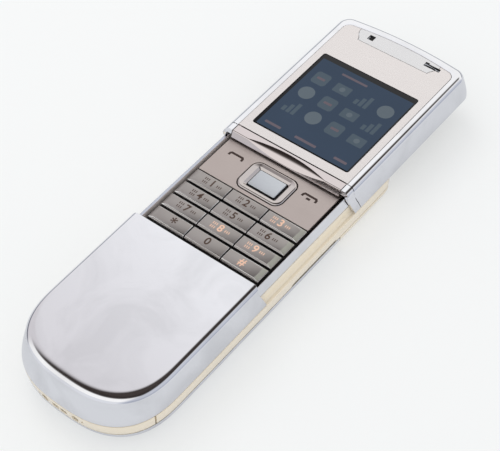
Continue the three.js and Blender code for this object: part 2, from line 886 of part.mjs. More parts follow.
// Dark frame: an edge round the keys, bars between their rows, and two beds for the function plate's ribs.
function keypadFrame() {
  const half = keyFieldWidth / 2;
  const body = block(-half, half, keypadFrameStart, keypadFrameEnd, frameUnder, keypadFrameTop);
  const skirt = cut(
    block(-half, half, keypadFrameStart, keypadFrameEnd, nestTop + seamGap, frameUnder + filmGap),
    block(
      -half + keypadFrameEdge, half - keypadFrameEdge,
      keypadFrameStart + keypadFrameEdge, keypadFrameEnd - keypadFrameEdge,
      matTop - overrun, frameUnder + overrun,
    ),
  );
  const foot = upright(
    standoffRadius, standoffPlace, standoffStart, nestTop + seamGap, frameUnder + filmGap,
  );
  let frame = join(body, skirt, bothSides(foot));
  for (let row = 0; row < keyRows; row++) {
    const y0 = keyFieldStart + row * keyPitch + keyNeckInset - pressGap;
    const y1 = keyFieldStart + row * keyPitch + keyDepth - keyNeckInset + pressGap;
    frame = cut(frame, block(
      -half + keypadFrameEdge, half - keypadFrameEdge, y0, y1,
      frameUnder - overrun, keypadFrameTop + overrun,
    ));
  }
  const ringRoom = block(
    -half + keypadFrameEdge, half - keypadFrameEdge,
    ringMiddle - ringDepth / 2 - partingGap, ringMiddle + ringDepth / 2 + partingGap,
    frameUnder - overrun, keypadFrameTop + overrun,
  );
  return cut(frame, ringRoom);
}

// One key: a flange under the frame's bars, a neck, and a cap with bevelled edges.
// End columns have a long bevel with a bowed inner edge.
function keyCap(x0, x1, y0, outerSide) {
  const y1 = y0 + keyDepth;
  const capFoot = keyTop - keyCapHeight;
  const bevelFoot = keyTop - keyBevelHeight;
  const outline = (low, high, left, right, bowLeft, bowRight) => {
    const points = [];
    for (let i = 0; i <= cornerSteps; i++) {
      const share = i / cornerSteps;
      const bow = 4 * share * (1 - share);
      points.push([right - bowRight * bow, low + (high - low) * share]);
    }
    for (let i = 0; i <= cornerSteps; i++) {
      const share = 1 - i / cornerSteps;
      const bow = 4 * share * (1 - share);
      points.push([left + bowLeft * bow, low + (high - low) * share]);
    }
    return points;
  };
  const leftBevel = outerSide < 0 ? keyEndBevel : keySideBevel;
  const rightBevel = outerSide > 0 ? keyEndBevel : keySideBevel;
  const leftBow = outerSide < 0 ? -keyUpperBevel : 0;
  const rightBow = outerSide > 0 ? -keyUpperBevel : 0;
  const cap = loft([
    { z: capFoot, points: outline(y0, y1, x0, x1, 0, 0) },
    { z: bevelFoot, points: outline(y0, y1, x0, x1, 0, 0) },
    {
      z: keyTop,
      points: outline(
        y0 + keyLowerBevel, y1 - keyUpperBevel, x0 + leftBevel, x1 - rightBevel, leftBow, rightBow,
      ),
    },
  ]);
  const neckLow = y0 + keyNeckInset;
  const neckHigh = y1 - keyNeckInset;
  const neckLeft = x0 + (outerSide < 0 ? keypadFrameEdge + pressGap : keyNeckInset);
  const neckRight = x1 - (outerSide > 0 ? keypadFrameEdge + pressGap : keyNeckInset);
  const neck = block(neckLeft, neckRight, neckLow, neckHigh, keyFoot, capFoot + keyNeckInset);
  const flange = block(
    neckLeft, neckRight, neckLow - keyFlange, neckHigh + keyFlange, keyFoot, keyFoot + keyFlangeHeight,
  );
  return join(cap, neck, flange);
}

const plateTop = keyTop - plateDrop;
const plateUnder = plateTop - plateThickness;

// Brushed function plate: one sheet that rocks a little on two ribs, left or right.
function functionPlate() {
  const half = keyFieldWidth / 2;
  const outline = (inset) => roundedOutline(
    0, (functionStart + plateEnd) / 2,
    2 * (half - inset), plateEnd - functionStart - 2 * inset, keySideBevel + filmGap, 1,
  );
  const sheet = loft([
    { z: plateUnder, points: outline(0) },
    { z: plateTop - plateBevel, points: outline(0) },
    { z: plateTop, points: outline(plateBevel) },
  ]);
  const fulcrumFoot = keypadFrameTop + filmGap;
  const fulcrum = (y0, y1) => block(
    -fulcrumWidth / 2, fulcrumWidth / 2, y0, y1, fulcrumFoot, plateUnder + plateBevel,
  );
  const opening = roundedBlock(
    0, ringMiddle, ringWidth + 2 * ringGap, ringDepth + 2 * ringGap, ringOpeningCorner,
    plateUnder - overrun, plateTop + overrun,
  );
  const ringLow = ringMiddle - ringDepth / 2 - partingGap;
  const ringHigh = ringMiddle + ringDepth / 2 + partingGap;
  return cut(
    join(sheet, fulcrum(functionStart + pressGap, ringLow), fulcrum(ringHigh, plateEnd - pressGap)),
    opening,
  );
}

// Four-way ring: a rounded frame whose face rises to a crest and falls to the select key.
function navRing() {
  const crest = keyTop + ringProud;
  const foot = crest - ringHeight;
  const outer = (z, inset) => ({
    z,
    points: roundedOutline(
      0, ringMiddle, ringWidth - 2 * inset, ringDepth - 2 * inset,
      ringCorner - inset / 2,
    ),
  });
  const innerWidth = selectWidth + 2 * selectGap;
  const innerDepth = selectDepth + 2 * selectGap;
  const inner = (z, share) => ({
    z,
    points: roundedOutline(
      0, ringMiddle,
      innerWidth + (ringBowlWidth - innerWidth) * share,
      innerDepth + (ringBowlDepth - innerDepth) * share,
      selectCorner + selectCorner * share,
    ),
  });
  const body = loft([
    outer(foot, 0),
    outer(crest - ringEdgeDrop, 0),
    outer(crest - ringEdgeDrop / 4, ringCrestInset / 2),
    outer(crest, ringCrestInset),
  ]);
  const well = loft([
    inner(foot - overrun, 0),
    inner(crest - ringEdgeDrop, 0),
    inner(crest, 1),
    inner(crest + overrun, 1),
  ]);
  return cut(body, well);
}

function selectKey() {
  const top = keyTop - selectDrop;
  const outline = (inset) => roundedOutline(
    0, ringMiddle, selectWidth - 2 * inset, selectDepth - 2 * inset, selectCorner - inset,
  );
  return loft([
    { z: top - selectHeight, points: outline(0) },
    { z: top - selectBevel, points: outline(0) },
    { z: top, points: outline(selectBevel) },
  ]);
}

// Carrier under the ring, held beneath the keypad frame.
function navActuator() {
  const top = keyTop + ringProud - ringHeight - seamGap;
  const foot = top - actuatorThickness;
  const plate = roundedBlock(
    0, ringMiddle, ringWidth + 2 * actuatorBorder, ringDepth + 2 * actuatorBorder,
    ringCorner, foot, top,
  );
  const opening = roundedBlock(
    0, ringMiddle, selectWidth + 2 * partingGap + 2 * pressGap,
    selectDepth + 2 * partingGap + 2 * pressGap, selectCorner,
    foot - overrun, top + overrun,
  );
  return cut(plate, opening);
}

function keymat() {
  return roundedBlock(
    0, (keyFieldStart + matEnd) / 2, boardWidth, matEnd - keyFieldStart, boardCorner,
    matUnder, matTop,
  );
}

const columnStep = keyMiddleWidth / 2 + keyColumnGap;
const outerColumn = (columnStep + keyFieldWidth / 2) / 2;

// Thin sheet on the board with a snap dome under each key and at each press point.
function domeSheet() {
  const sheetFoot = boardTop + filmGap / 2;
  const rise = domeHeight + domeSheetThickness / 2;
  const profile = [
    new THREE.Vector2(0, 0),
    new THREE.Vector2(domeRadius, 0),
    new THREE.Vector2(domeRadius * 2 / 3, rise / 2),
    new THREE.Vector2(domeRadius / 3, rise * Math.sin(Math.PI / 3)),
    new THREE.Vector2(0, rise),
  ];
  const dome = (x, y) => {
    const geometry = new THREE.LatheGeometry(profile, smallSides);
    geometry.rotateX(Math.PI / 2);
    geometry.translate(x, y, sheetFoot + domeSheetThickness / 2);
    return toSolid(geometry);
  };
  const places = [];
  for (let row = 0; row < keyRows; row++) {
    const y = keyFieldStart + row * keyPitch + keyDepth / 2;
    for (const x of [-outerColumn, 0, outerColumn]) places.push([x, y]);
  }
  const pressAcross = ringWidth / 2 - ringCorner / 2;
  const pressAlong = ringDepth / 2 + filmGap;
  places.push([0, ringMiddle], [-pressAcross, ringMiddle], [pressAcross, ringMiddle]);
  places.push([0, ringMiddle - pressAlong], [0, ringMiddle + pressAlong]);
  places.push([-outerColumn, ringMiddle], [outerColumn, ringMiddle]);
  const sheet = roundedBlock(
    0, (keyFieldStart + matEnd) / 2, boardWidth, matEnd - keyFieldStart, boardCorner,
    sheetFoot, sheetFoot + domeSheetThickness,
  );
  return join(sheet, ...places.map(([x, y]) => dome(x, y)));
}

function mainBoard() {
  const narrow = loft([boardUnder, boardTop].map((z) => ({
    z,
    points: bodyRing({
      half: boardNarrowWidth / 2,
      low: boardStart,
      depth: boardNarrowWidth / 2,
      high: boardNarrowEnd + topArch,
      corner: boardCorner,
    }),
  })));
  const wide = roundedBlock(
    0, (boardNarrowEnd + boardEnd) / 2 - boardCorner / 2, boardWidth,
    boardEnd - boardNarrowEnd + boardCorner, boardCorner, boardUnder, boardTop,
  );
  const hole = upright(
    standoffRadius + seamGap, standoffPlace, standoffStart, boardUnder - overrun, boardTop + overrun,
  );
  return cut(join(narrow, wide), bothSides(hole));
}

// Open-topped shield under the board, with a wall between its two rooms.
function shieldCan() {
  const top = boardUnder - pressGap;
  const roomFoot = top - canHeight + canWall;
  const half = canWidth / 2;
  const can = block(-half, half, canStart, canStart + canLength, top - canHeight, top);
  const room = (y0, y1) => block(
    -half + canWall, half - canWall, y0 + canWall, y1 - canWall / 2, roomFoot, top + overrun,
  );
  return cut(
    can,
    room(canStart, canStart + canDivider),
    room(canStart + canDivider - canWall / 2, canStart + canLength - canWall / 2),
  );
}

function coverScrew() {
  const headTop = deckUnder - pressGap;
  const headFoot = headTop - screwHeadHeight;
  const head = upright(screwHeadRadius, screwPlace, screwRow, headFoot, headTop, circleSides);
  const socket = upright(
    screwSocketRadius, screwPlace, screwRow, headFoot - overrun, headFoot + screwSocketDepth, hexSides,
  );
  const shank = upright(
    screwRadius, screwPlace, screwRow, headTop - screwHeadHeight / 4, headTop + screwReach,
  );
  return join(cut(head, socket), shank);
}

const batteryTop = deckUnder - simThickness - 2 * seamGap;

function battery() {
  return roundedBlock(
    0, batteryStart + batteryLength / 2, batteryWidth, batteryLength, batteryCorner,
    batteryTop - batteryThickness, batteryTop,
  );
}

function batteryContacts() {
  const y0 = batteryStart + batteryLength + seamGap;
  const top = deckUnder - pressGap;
  let body = block(
    -contactBlockWidth / 2, contactBlockWidth / 2, y0 + springWidth, y0 + contactBlockLength,
    top - contactBlockHeight, top,
  );
  for (const step of [-1, 0, 1]) {
    const x = step * springPitch;
    const profile = [
      [y0 + springWidth + contactWidth, top - contactWidth * 2],
      [y0, top - contactBlockHeight / 2],
      [y0 + springWidth + contactWidth, top - contactBlockHeight + contactWidth],
    ];
    body = join(body, prismAcross(profile.reverse(), x - springWidth / 2, x + springWidth / 2));
  }
  return body;
}

// Low metal cage for the card, open at one end, with a window in its face.
function simHolder() {
  const top = deckUnder - seamGap;
  const cage = block(-simWidth / 2, simWidth / 2, simStart, simStart + simLength, top - simThickness, top);
  const slot = block(
    -simWidth / 2 + simSlot, simWidth / 2 - simSlot, simStart - overrun, simStart + simLength - simSlot,
    top - simThickness / 2 - simSlot / 2, top - simThickness / 2 + simSlot / 2,
  );
  const window = roundedBlock(
    0, simStart + simLength / 2, simWidth * simWindowShare, simLength * simWindowShare, simSlot,
    top - simThickness - overrun, top - simThickness / 2,
  );
  return cut(cage, slot, window);
}

// Loudspeaker facing the back: a basket with a ring-shaped cone and a dome.
function loudspeaker() {
  const top = deckUnder - pressGap;
  const foot = top - speakerHeight;
  const y = speakerStart + speakerLength / 2;
  const basket = roundedBlock(0, y, speakerWidth, speakerLength, speakerCorner, foot, top);
  const profile = [
    new THREE.Vector2(0, -overrun),
    new THREE.Vector2(speakerConeRadius, -overrun),
    new THREE.Vector2(speakerConeRadius, speakerConeDepth / 3),
    new THREE.Vector2(speakerDomeRadius, speakerConeDepth),
    new THREE.Vector2(speakerDomeRadius * Math.SQRT1_2, speakerConeDepth / 2),
    new THREE.Vector2(0, speakerConeDepth / 4),
  ];
  const cone = new THREE.LatheGeometry(profile, circleSides);
  cone.rotateX(Math.PI / 2);
  cone.translate(0, y, foot);
  return cut(basket, toSolid(cone));
}

function antenna() {
  const top = deckUnder - seamGap;
  const low = antennaEnd - antennaLeg;
  const outer = roundedBlock(
    0, (low + antennaEnd) / 2, antennaWidth, antennaLeg, topCorner, top - antennaThickness, top,
  );
  const inner = roundedBlock(
    0, (low + antennaEnd) / 2 - antennaStrip, antennaWidth - 2 * antennaStrip, antennaLeg,
    boardCorner, top - antennaThickness - overrun, top + overrun,
  );
  return cut(outer, inner);
}

const motorHeight = boardTop + pressGap + motorRadius;
const motorEnd = motorStart + motorLength;

function vibrationMotor() {
  return join(
    lengthwise(motorRadius, motorPlace, motorHeight, motorStart, motorEnd, circleSides),
    lengthwise(motorShaftRadius, motorPlace, motorHeight, motorEnd - motorRadius, motorEnd + motorShaftLength),
  );
}

// Off-centre weight on the motor's shaft.
function motorWeight() {
  const y0 = motorEnd + seamGap;
  const y1 = y0 + weightLength;
  const half = lengthwise(weightRadius, motorPlace, motorHeight, y0, y1, circleSides).intersect(
    block(motorPlace - weightRadius, motorPlace + weightRadius, y0 - overrun, y1 + overrun,
      motorHeight - weightRadius - overrun, motorHeight),
  );
  const hub = lengthwise(weightHub, motorPlace, motorHeight, y0, y1);
  const bore = lengthwise(motorShaftRadius + filmGap, motorPlace, motorHeight, y0 - overrun, y1 + overrun);
  return cut(join(half, hub), bore);
}

// Outline of the brushed face plate, drawn in by inset: square at the lip, arched at the top.
function facePlateOutline(inset) {
  const half = facePlateWidth / 2 - inset;
  const corner = facePlateCorner - inset;
  const arch = (x) => facePlateEnd - inset - facePlateArch * (x / half) ** 2;
  const inner = half - corner;
  const points = [[-half, facePlateStart + inset], [half, facePlateStart + inset]];
  for (let i = 0; i <= cornerSteps; i++) {
    const turn = (Math.PI / 2) * i / cornerSteps;
    points.push([inner + corner * Math.cos(turn), arch(inner) - corner + corner * Math.sin(turn)]);
  }
  for (let i = 1; i < archSteps; i++) {
    const x = inner * (1 - 2 * i / archSteps);
    points.push([x, arch(x)]);
  }
  for (let i = 0; i <= cornerSteps; i++) {
    const turn = (Math.PI / 2) * (1 + i / cornerSteps);
    points.push([-inner + corner * Math.cos(turn), arch(inner) - corner + corner * Math.sin(turn)]);
  }
  return points;
}

const windowMiddle = windowStart + windowLength / 2;
const windowBlock = (grow, z0, z1) => roundedBlock(
  0, windowMiddle, windowWidth + 2 * grow, windowLength + 2 * grow, windowCorner, z0, z1,
);

// Polished shell of the display half: deep skirts, arched end, a recess and a ledge for the glass.
function displayShell() {
  const skin = frontSolid.intersect(pastParting(partingGap + lipLength + filmGap, 1));
  const room = frontHollow.intersect(below(roof));
  const recess = prism(facePlateOutline(-filmGap), shelfTop, bodyThickness + overrun);
  const lipSide = block(
    -facePlateWidth / 2 - filmGap, facePlateWidth / 2 + filmGap, coverLength - overrun, facePlateStart,
    slidePlateUnder - filmGap, bodyThickness + overrun,
  );
  const opening = windowBlock(-glassLedge, roof - overrun, bodyThickness + overrun);
  const sensorRoom = (x, width, depth) => block(
    x - width / 2, x + width / 2, panelMiddle - depth / 2, panelMiddle + depth / 2,
    roof - overrun, bodyThickness + overrun,
  );
  return cut(
    skin, room, recess, lipSide, opening,
    sensorRoom(squareHolePlace, squareHole, squareHole),
    sensorRoom(earSlotPlace, earSlotWidth, earSlotHeight),
  );
}

// Outline of the small inset panel; its sides sweep outwards to meet the plate's upper edge.
function panelOutline(grow) {
  const half = panelWidth / 2 + grow;
  const top = facePlateEnd + overrun;
  const sweepEnd = panelStart + panelHeight * (1 - facePlateArch / panelHeight);
  const points = [];
  const sweep = (side, up) => {
    for (let i = 0; i <= cornerSteps; i++) {
      const share = up ? i / cornerSteps : 1 - i / cornerSteps;
      const ease = share * share * (3 - 2 * share);
      points.push([side * (half + panelFlare * ease), panelStart - grow + (sweepEnd - panelStart) * share]);
    }
  };
  sweep(1, true);
  points.push([half + panelFlare, top], [-half - panelFlare, top]);
  sweep(-1, false);
  return points;
}

function displayFacePlate() {
  const plate = prism(facePlateOutline(0), facePlateUnder, facePlateTop);
  return cut(
    plate,
    windowBlock(0, facePlateUnder - overrun, facePlateTop + overrun),
    prism(panelOutline(panelLine), facePlateUnder - overrun, facePlateTop + overrun),
    earSlot(),
  );
}

// A hole in the panel's row, through the plates at the front.
function plateHole(x, width, depth) {
  return block(
    x - width / 2, x + width / 2, panelMiddle - depth / 2, panelMiddle + depth / 2,
    facePlateUnder - overrun, facePlateTop + overrun,
  );
}

// The stepped earpiece slot: a long opening with a deeper notch at its inner end.
function earSlot() {
  const notch = block(
    earSlotPlace - earSlotWidth / 2, earSlotPlace - earSlotWidth / 2 + earSlotHeight,
    panelMiddle - earSlotHeight / 2, panelMiddle + earSlotHeight / 2 + earSlotStep,
    facePlateUnder - overrun, facePlateTop + overrun,
  );
  return join(plateHole(earSlotPlace, earSlotWidth, earSlotHeight), notch);
}

function earpiecePanel() {
  const panel = prism(panelOutline(0), facePlateUnder, facePlateTop).intersect(
    prism(facePlateOutline(0), facePlateUnder - overrun, facePlateTop + overrun),
  );
  return cut(panel, plateHole(squareHolePlace, squareHole, squareHole), earSlot());
}

function displayGlass() {
  const foot = shelfTop + filmGap;
  return windowBlock(-filmGap, foot, foot + glassThickness);
}

function displayModule() {
  return windowBlock(-glassLedge - seamGap, moduleUnder, moduleTop);
}

// Steel plate under the shell's shelf, with a blade down each side to its shoe.
function innerSlidePlate() {
  const outside = bladeInside + bladeThickness;
  const plate = block(
    -outside, outside, lipEnd + seamGap, podStart - seamGap, slidePlateUnder, slidePlateTop,
  );
  const blade = block(
    bladeInside, outside, shoeStart, shoeStart + shoeLength,
    grooveFoot + filmGap, slidePlateTop - slidePlateThickness / 2,
  );
  return join(plate, bothSides(blade));
}

// Polished bar at the foot of the display half. Its front slants down to a nose, and a barrel-shaped
// scoop for the thumb takes a lens out of the slant and of the strip above it.
function thumbLip() {
  const foot = slidePlateUnder;
  const front = (z) => partingAt(z) + partingGap;
  const profile = [
    [front(foot), foot],
    [lipEnd - filmGap, foot],
    [lipEnd - filmGap, bodyThickness],
    [lipStart + lipEdge, bodyThickness],
    [front(bodyThickness - lipEdge), bodyThickness - lipEdge],
  ];
  const bar = prismAcross(profile, -lipWidth / 2, lipWidth / 2);
  const lowY = front(foot + scoopRim);
  const lowZ = foot + scoopRim;
  const highY = lipStart + scoopDepth;
  const highZ = bodyThickness;
  const slope = Math.atan2(highZ - lowZ, highY - lowY);
  const chord = Math.hypot(highZ - lowZ, highY - lowY);
  const depth = scoopDepth * Math.sin(slope);
  const radius = ((scoopWidth / 2) ** 2 + depth ** 2) / (2 * depth);
  const barrel = [new THREE.Vector2(0, -chord)];
  for (let i = -scoopSteps; i <= scoopSteps; i++) {
    const share = i / scoopSteps;
    barrel.push(new THREE.Vector2(radius + scoopBow * (1 - (2 * share) ** 2), chord * share));
  }
  barrel.push(new THREE.Vector2(0, chord));
  const cutter = new THREE.LatheGeometry(barrel, scoopSides);
  cutter.rotateX(slope);
  cutter.translate(
    0,
    (lowY + highY) / 2 - radius * Math.sin(slope),
    (lowZ + highZ) / 2 + radius * Math.cos(slope),
  );
  return cut(bar, toSolid(cutter));
}

// Small polished cap at the lower right corner of the display half, down to the skirt's edge.
function lipEndCap() {
  const slice = frontSolid
    .intersect(pastParting(partingGap, 1))
    .intersect(pastParting(partingGap + lipLength - filmGap, -1));
  const room = frontHollow.intersect(below(roof));
  const side = block(
    lipWidth / 2 + lipJointGap, bodyWidth, lipStart - overrun, lipEnd + 2 * overrun,
    -overrun, bodyThickness + overrun,
  );
  return cut(slice, room).intersect(side);
}

function receiver() {
  const top = shelfTop - filmGap;
  const box = roundedBlock(
    earSlotPlace - earSlotHeight, panelMiddle + (earSlotHeight - receiverLength) / 2,
    receiverWidth, receiverLength, contactWidth,
    roof - receiverThickness - filmGap, roof - filmGap,
  );
  const neck = block(
    earSlotPlace - earSlotWidth / 2 + filmGap, earSlotPlace + earSlotHeight / 2,
    panelMiddle - earSlotHeight / 2 + filmGap, panelMiddle + earSlotHeight / 2 - filmGap,
    roof - receiverThickness / 2, top,
  );
  return join(box, neck);
}

function lightSensor() {
  const half = squareHole / 2 - filmGap;
  return block(
    squareHolePlace - half, squareHolePlace + half, panelMiddle - half, panelMiddle + half,
    roof - sensorThickness, shelfTop,
  );
}

const podFoot = slidePlateUnder - podHeight;

// Housing in the back of the display half, round the camera and the receiver.
function cameraHousing() {
  const middle = podStart + podLength / 2;
  const tray = roundedBlock(0, middle, podWidth, podLength, podCorner, podFoot, slidePlateUnder);
  const room = roundedBlock(
    0, middle, podWidth - 2 * podWall, podLength - 2 * podWall, podCorner - podWall,
    podFoot + podWall, slidePlateUnder + overrun,
  );
  const hole = upright(
    cameraRingRadius + filmGap, 0, cameraPlace, podFoot - overrun, podFoot + overrun, circleSides,
  );
  return cut(tray, room, hole);
}

function cameraModule() {
  const foot = podFoot + podWall + filmGap;
  const body = block(
    -cameraSize / 2, cameraSize / 2, cameraPlace - cameraSize / 2, cameraPlace + cameraSize / 2,
    foot, foot + cameraHeight,
  );
  const aperture = upright(cameraBore / 2, 0, cameraPlace, foot - overrun, foot + cameraHeight / 2, circleSides);
  return cut(body, aperture);
}

function cameraRing() {
  const foot = podFoot + filmGap;
  const outer = upright(cameraRingRadius, 0, cameraPlace, foot, podFoot + podWall, circleSides);
  const bore = upright(cameraBore, 0, cameraPlace, foot - overrun, foot + overrun, circleSides);
  return cut(outer, bore);
}

function cameraLens() {
  const foot = podFoot + cameraRecess - pressGap;
  return upright(cameraBore - filmGap, 0, cameraPlace, foot, foot + lensThickness, circleSides);
}

// Finishes, as plain colours here
const finishes = {
  polished: { color: 0xd9d9de, roughness: 0.12, metalness: 1 },
  cream: { color: 0xeaddc3, roughness: 0.3, metalness: 0.1 },
  brushed: { color: 0xd8ccc6, roughness: 0.4, metalness: 1 },
  taupe: { color: 0xb0a49d, roughness: 0.4, metalness: 1 },
  keyMetal: { color: 0x8f8b87, roughness: 0.42, metalness: 1 },
  selectMetal: { color: 0xb9bfc5, roughness: 0.35, metalness: 1 },
  black: { color: 0x1b1a1b, roughness: 0.6, metalness: 0 },
  rubber: { color: 0x2b2a2b, roughness: 0.9, metalness: 0 },
  board: { color: 0x1f5a3a, roughness: 0.6, metalness: 0 },
  gold: { color: 0xc9a24a, roughness: 0.3, metalness: 1 },
  steel: { color: 0xa5a7aa, roughness: 0.35, metalness: 1 },
  nylon: { color: 0xd9d8d2, roughness: 0.6, metalness: 0 },
  glass: { color: 0x2b3646, roughness: 0.05, metalness: 0 },
  cell: { color: 0x4a4e57, roughness: 0.6, metalness: 0.1 },
};

function part(name, solid, finish) {
  const material = new THREE.MeshStandardMaterial(finishes[finish]);
  const mesh = new THREE.Mesh(toGeometry(solid), material);
  mesh.name = name;
  return mesh;
}

const base = new THREE.Group();
base.add(
  part('mid_frame', midFrame(), 'cream'),
  part('bottom_end_cap', bottomEndCap(), 'cream'),
  part('lower_front_cover', lowerFrontCover(), 'polished'),
  part('battery_cover', batteryCover(), 'polished'),
  part('antenna_cover', antennaCover(), 'cream'),
  part('side_rail_right', sideRail(), 'polished'),
  part('side_rail_left', mirrored(sideRail()), 'polished'),
  part('guide_rod_right', guideRod(), 'steel'),
  part('guide_rod_left', mirrored(guideRod()), 'steel'),
  part('keypad_frame', keypadFrame(), 'black'),
  part('function_plate', functionPlate(), 'taupe'),
  part('nav_ring', navRing(), 'polished'),
  part('nav_actuator', navActuator(), 'black'),
  part('select_key', selectKey(), 'selectMetal'),
  part('keymat', keymat(), 'rubber'),
  part('dome_sheet', domeSheet(), 'steel'),
  part('main_board', mainBoard(), 'board'),
  part('shield_can', shieldCan(), 'steel'),
  part('cover_screw_right', coverScrew(), 'steel'),
  part('cover_screw_left', mirrored(coverScrew()), 'steel'),
  part('battery', battery(), 'cell'),
  part('battery_contacts', batteryContacts(), 'gold'),
  part('sim_holder', simHolder(), 'steel'),
  part('charging_jack', chargingJack(), 'steel'),
  part('system_connector', systemConnector(), 'black'),
  part('microphone', microphone(), 'steel'),
  part('loudspeaker', loudspeaker(), 'black'),
  part('antenna', antenna(), 'gold'),
  part('vibration_motor', vibrationMotor(), 'steel'),
  part('motor_weight', motorWeight(), 'steel'),
);

// Twelve keys in rows of three, counted from the row nearest the function plate.
const keyNames = [
  ['key_1', 'key_2', 'key_3'],
  ['key_4', 'key_5', 'key_6'],
  ['key_7', 'key_8', 'key_9'],
  ['key_star', 'key_0', 'key_hash'],
];
const columns = [
  [-keyFieldWidth / 2, -columnStep, -1],
  [-keyMiddleWidth / 2, keyMiddleWidth / 2, 0],
  [columnStep, keyFieldWidth / 2, 1],
];
keyNames.forEach((names, row) => {
  const y0 = keyFieldStart + (keyRows - 1 - row) * keyPitch;
  names.forEach((name, column) => {
    const [x0, x1, outerSide] = columns[column];
    base.add(part(name, keyCap(x0, x1, y0, outerSide), 'keyMetal'));
  });
});

const displayHalf = new THREE.Group();
displayHalf.add(
  part('display_shell', displayShell(), 'polished'),
  part('display_face_plate', displayFacePlate(), 'brushed'),
  part('earpiece_panel', earpiecePanel(), 'brushed'),
  part('display_glass', displayGlass(), 'glass'),
  part('display_module', displayModule(), 'black'),
  part('thumb_lip', thumbLip(), 'polished'),
  part('lip_end_cap_right', lipEndCap(), 'polished'),
  part('lip_end_cap_left', mirrored(lipEndCap()), 'polished'),
  part('inner_slide_plate', innerSlidePlate(), 'steel'),
  part('slide_shoe_right', slideShoe(), 'nylon'),
  part('slide_shoe_left', mirrored(slideShoe()), 'nylon'),
  part('receiver', receiver(), 'black'),
  part('light_sensor', lightSensor(), 'black'),
  part('camera_housing', cameraHousing(), 'black'),
  part('camera_module', cameraModule(), 'black'),
  part('camera_ring', cameraRing(), 'polished'),
  part('camera_lens', cameraLens(), 'glass'),
);
displayHalf.position.y = slideTravel;

// The origin is under the middle of the open phone.
const phone = new THREE.Group();
phone.add(base, displayHalf);
phone.position.y = -(closedLength + slideTravel) / 2;

const whole = new THREE.Group();
whole.add(phone);

export default whole;
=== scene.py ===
"""Slider phone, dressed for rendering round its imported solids."""
import math

import bmesh
import bpy
from bpy.props import (
    FloatProperty, FloatVectorProperty, IntProperty, PointerProperty,
)
from mathutils import Euler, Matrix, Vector


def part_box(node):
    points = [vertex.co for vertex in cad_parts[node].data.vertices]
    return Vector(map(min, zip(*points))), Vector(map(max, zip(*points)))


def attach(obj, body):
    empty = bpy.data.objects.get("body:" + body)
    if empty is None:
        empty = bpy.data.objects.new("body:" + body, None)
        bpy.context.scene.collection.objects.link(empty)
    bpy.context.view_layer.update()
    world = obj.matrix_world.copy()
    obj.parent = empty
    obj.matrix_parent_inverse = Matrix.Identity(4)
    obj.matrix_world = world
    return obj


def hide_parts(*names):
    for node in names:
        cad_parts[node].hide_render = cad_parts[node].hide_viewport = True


bl_info = {
    "name": "Slider phone",
    "version": (1, 0, 0),
    "blender": (4, 5, 0),
    "location": "3D View > Sidebar > Slider phone",
    "description": "Builds the polished covers, keys, plates and screen of a slider phone, and its studio",
    "category": "Object",
}

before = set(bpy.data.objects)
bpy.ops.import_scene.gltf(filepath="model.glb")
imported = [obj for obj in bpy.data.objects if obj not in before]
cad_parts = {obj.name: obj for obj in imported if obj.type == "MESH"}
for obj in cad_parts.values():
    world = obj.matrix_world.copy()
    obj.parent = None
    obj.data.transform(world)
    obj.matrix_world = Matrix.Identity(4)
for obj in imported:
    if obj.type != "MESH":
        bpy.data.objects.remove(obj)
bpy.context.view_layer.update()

# One millimetre, in Blender's metres
MM = 0.001
# Point counts: the bottom end, a top corner, the top arch, along the thumb lip, round the back's edge
END_STEPS, CORNER_STEPS, ARCH_STEPS, LIP_STATIONS, BACK_STEPS = 96, 14, 16, 220, 18

# Sizes of small forms, all in millimetres
# Closing wall of the lower cover: its foot, and the height at which it bends
WALL_FOOT, WALL_BEND = 12.6, 15.65
# Recess for the plates: half its width, its top end with that end's arch and corner, and the steps of
# its wall, each with how far out and how deep it lies
RECESS_HALF, RECESS_TOP, RECESS_ARCH, RECESS_CORNER = 19.4, 111.0, 1.6, 2.5
RECESS_STEPS = ((0.18, 0), (0.05, 0.03), (0, 0.12), (0, 0.6), (-0.9, 0.6), (-0.9, 1.0), (0.7, 1.2))
# End caps beside the thumb lip: their inner side, and how far out and how high their top's underside lies
CAP_SIDE, CAP_STEP, CAP_UNDER = 19.35, 20.9, 16.4
# Thumb scoop: what stands below it, how far back it runs, its depth, half its width, and the bow of its
# face, which is outwards where it is below 0
SCOOP_FOOT, SCOOP_BACK, SCOOP_DEPTH, SCOOP_REACH, SCOOP_BOW = 0.25, 1.92, 2.05, 14.2, -0.16
# Inner wall of the frame: heights round its section, and how far each point is in from the wall's place
NEST = (
    (8.96, -0.35), (9.0, -0.5), (9.08, -0.42), (9.2, -0.2), (9.35, -0.08), (9.6, -0.01), (9.8, 0),
    (12.1, 0), (12.2, 0.1), (12.2, 0.75), (12.1, 0.85), (9.0, 0.85))
# Bottom end: places across and radii of its round holes, and places of its two slots
PORT_HOLES = ((-5.25, 1.2), (5.25, 1.1), (-7.5, 0.35), (7.5, 0.35))
PORT_SLOTS = (-1.4, 1.4)
# Back: places of the hooks across it, and of the middle of the sound holes from the bottom end
HOOK_PLACE, SOUND_HOLES = 9, 96
# Corner radius of the four-way ring
RING_CORNER = 2.6


def linear(code):
    """An sRGB hex code as a linear colour with full alpha."""
    made = []
    for at in (1, 3, 5):
        c = int(code[at:at + 2], 16) / 255
        made.append(c / 12.92 if c <= 0.04045 else ((c + 0.055) / 1.055) ** 2.4)
    return (*made, 1.0)


def length(name, value, text):
    """A size in millimetres, kept as a Blender length."""
    return FloatProperty(name=name, description=text, default=value * MM, unit="LENGTH", precision=5)


def colour(name, code, text):
    return FloatVectorProperty(
        name=name, description=text, default=linear(code), size=4, subtype="COLOR", min=0, max=1,
    )


# Sizes

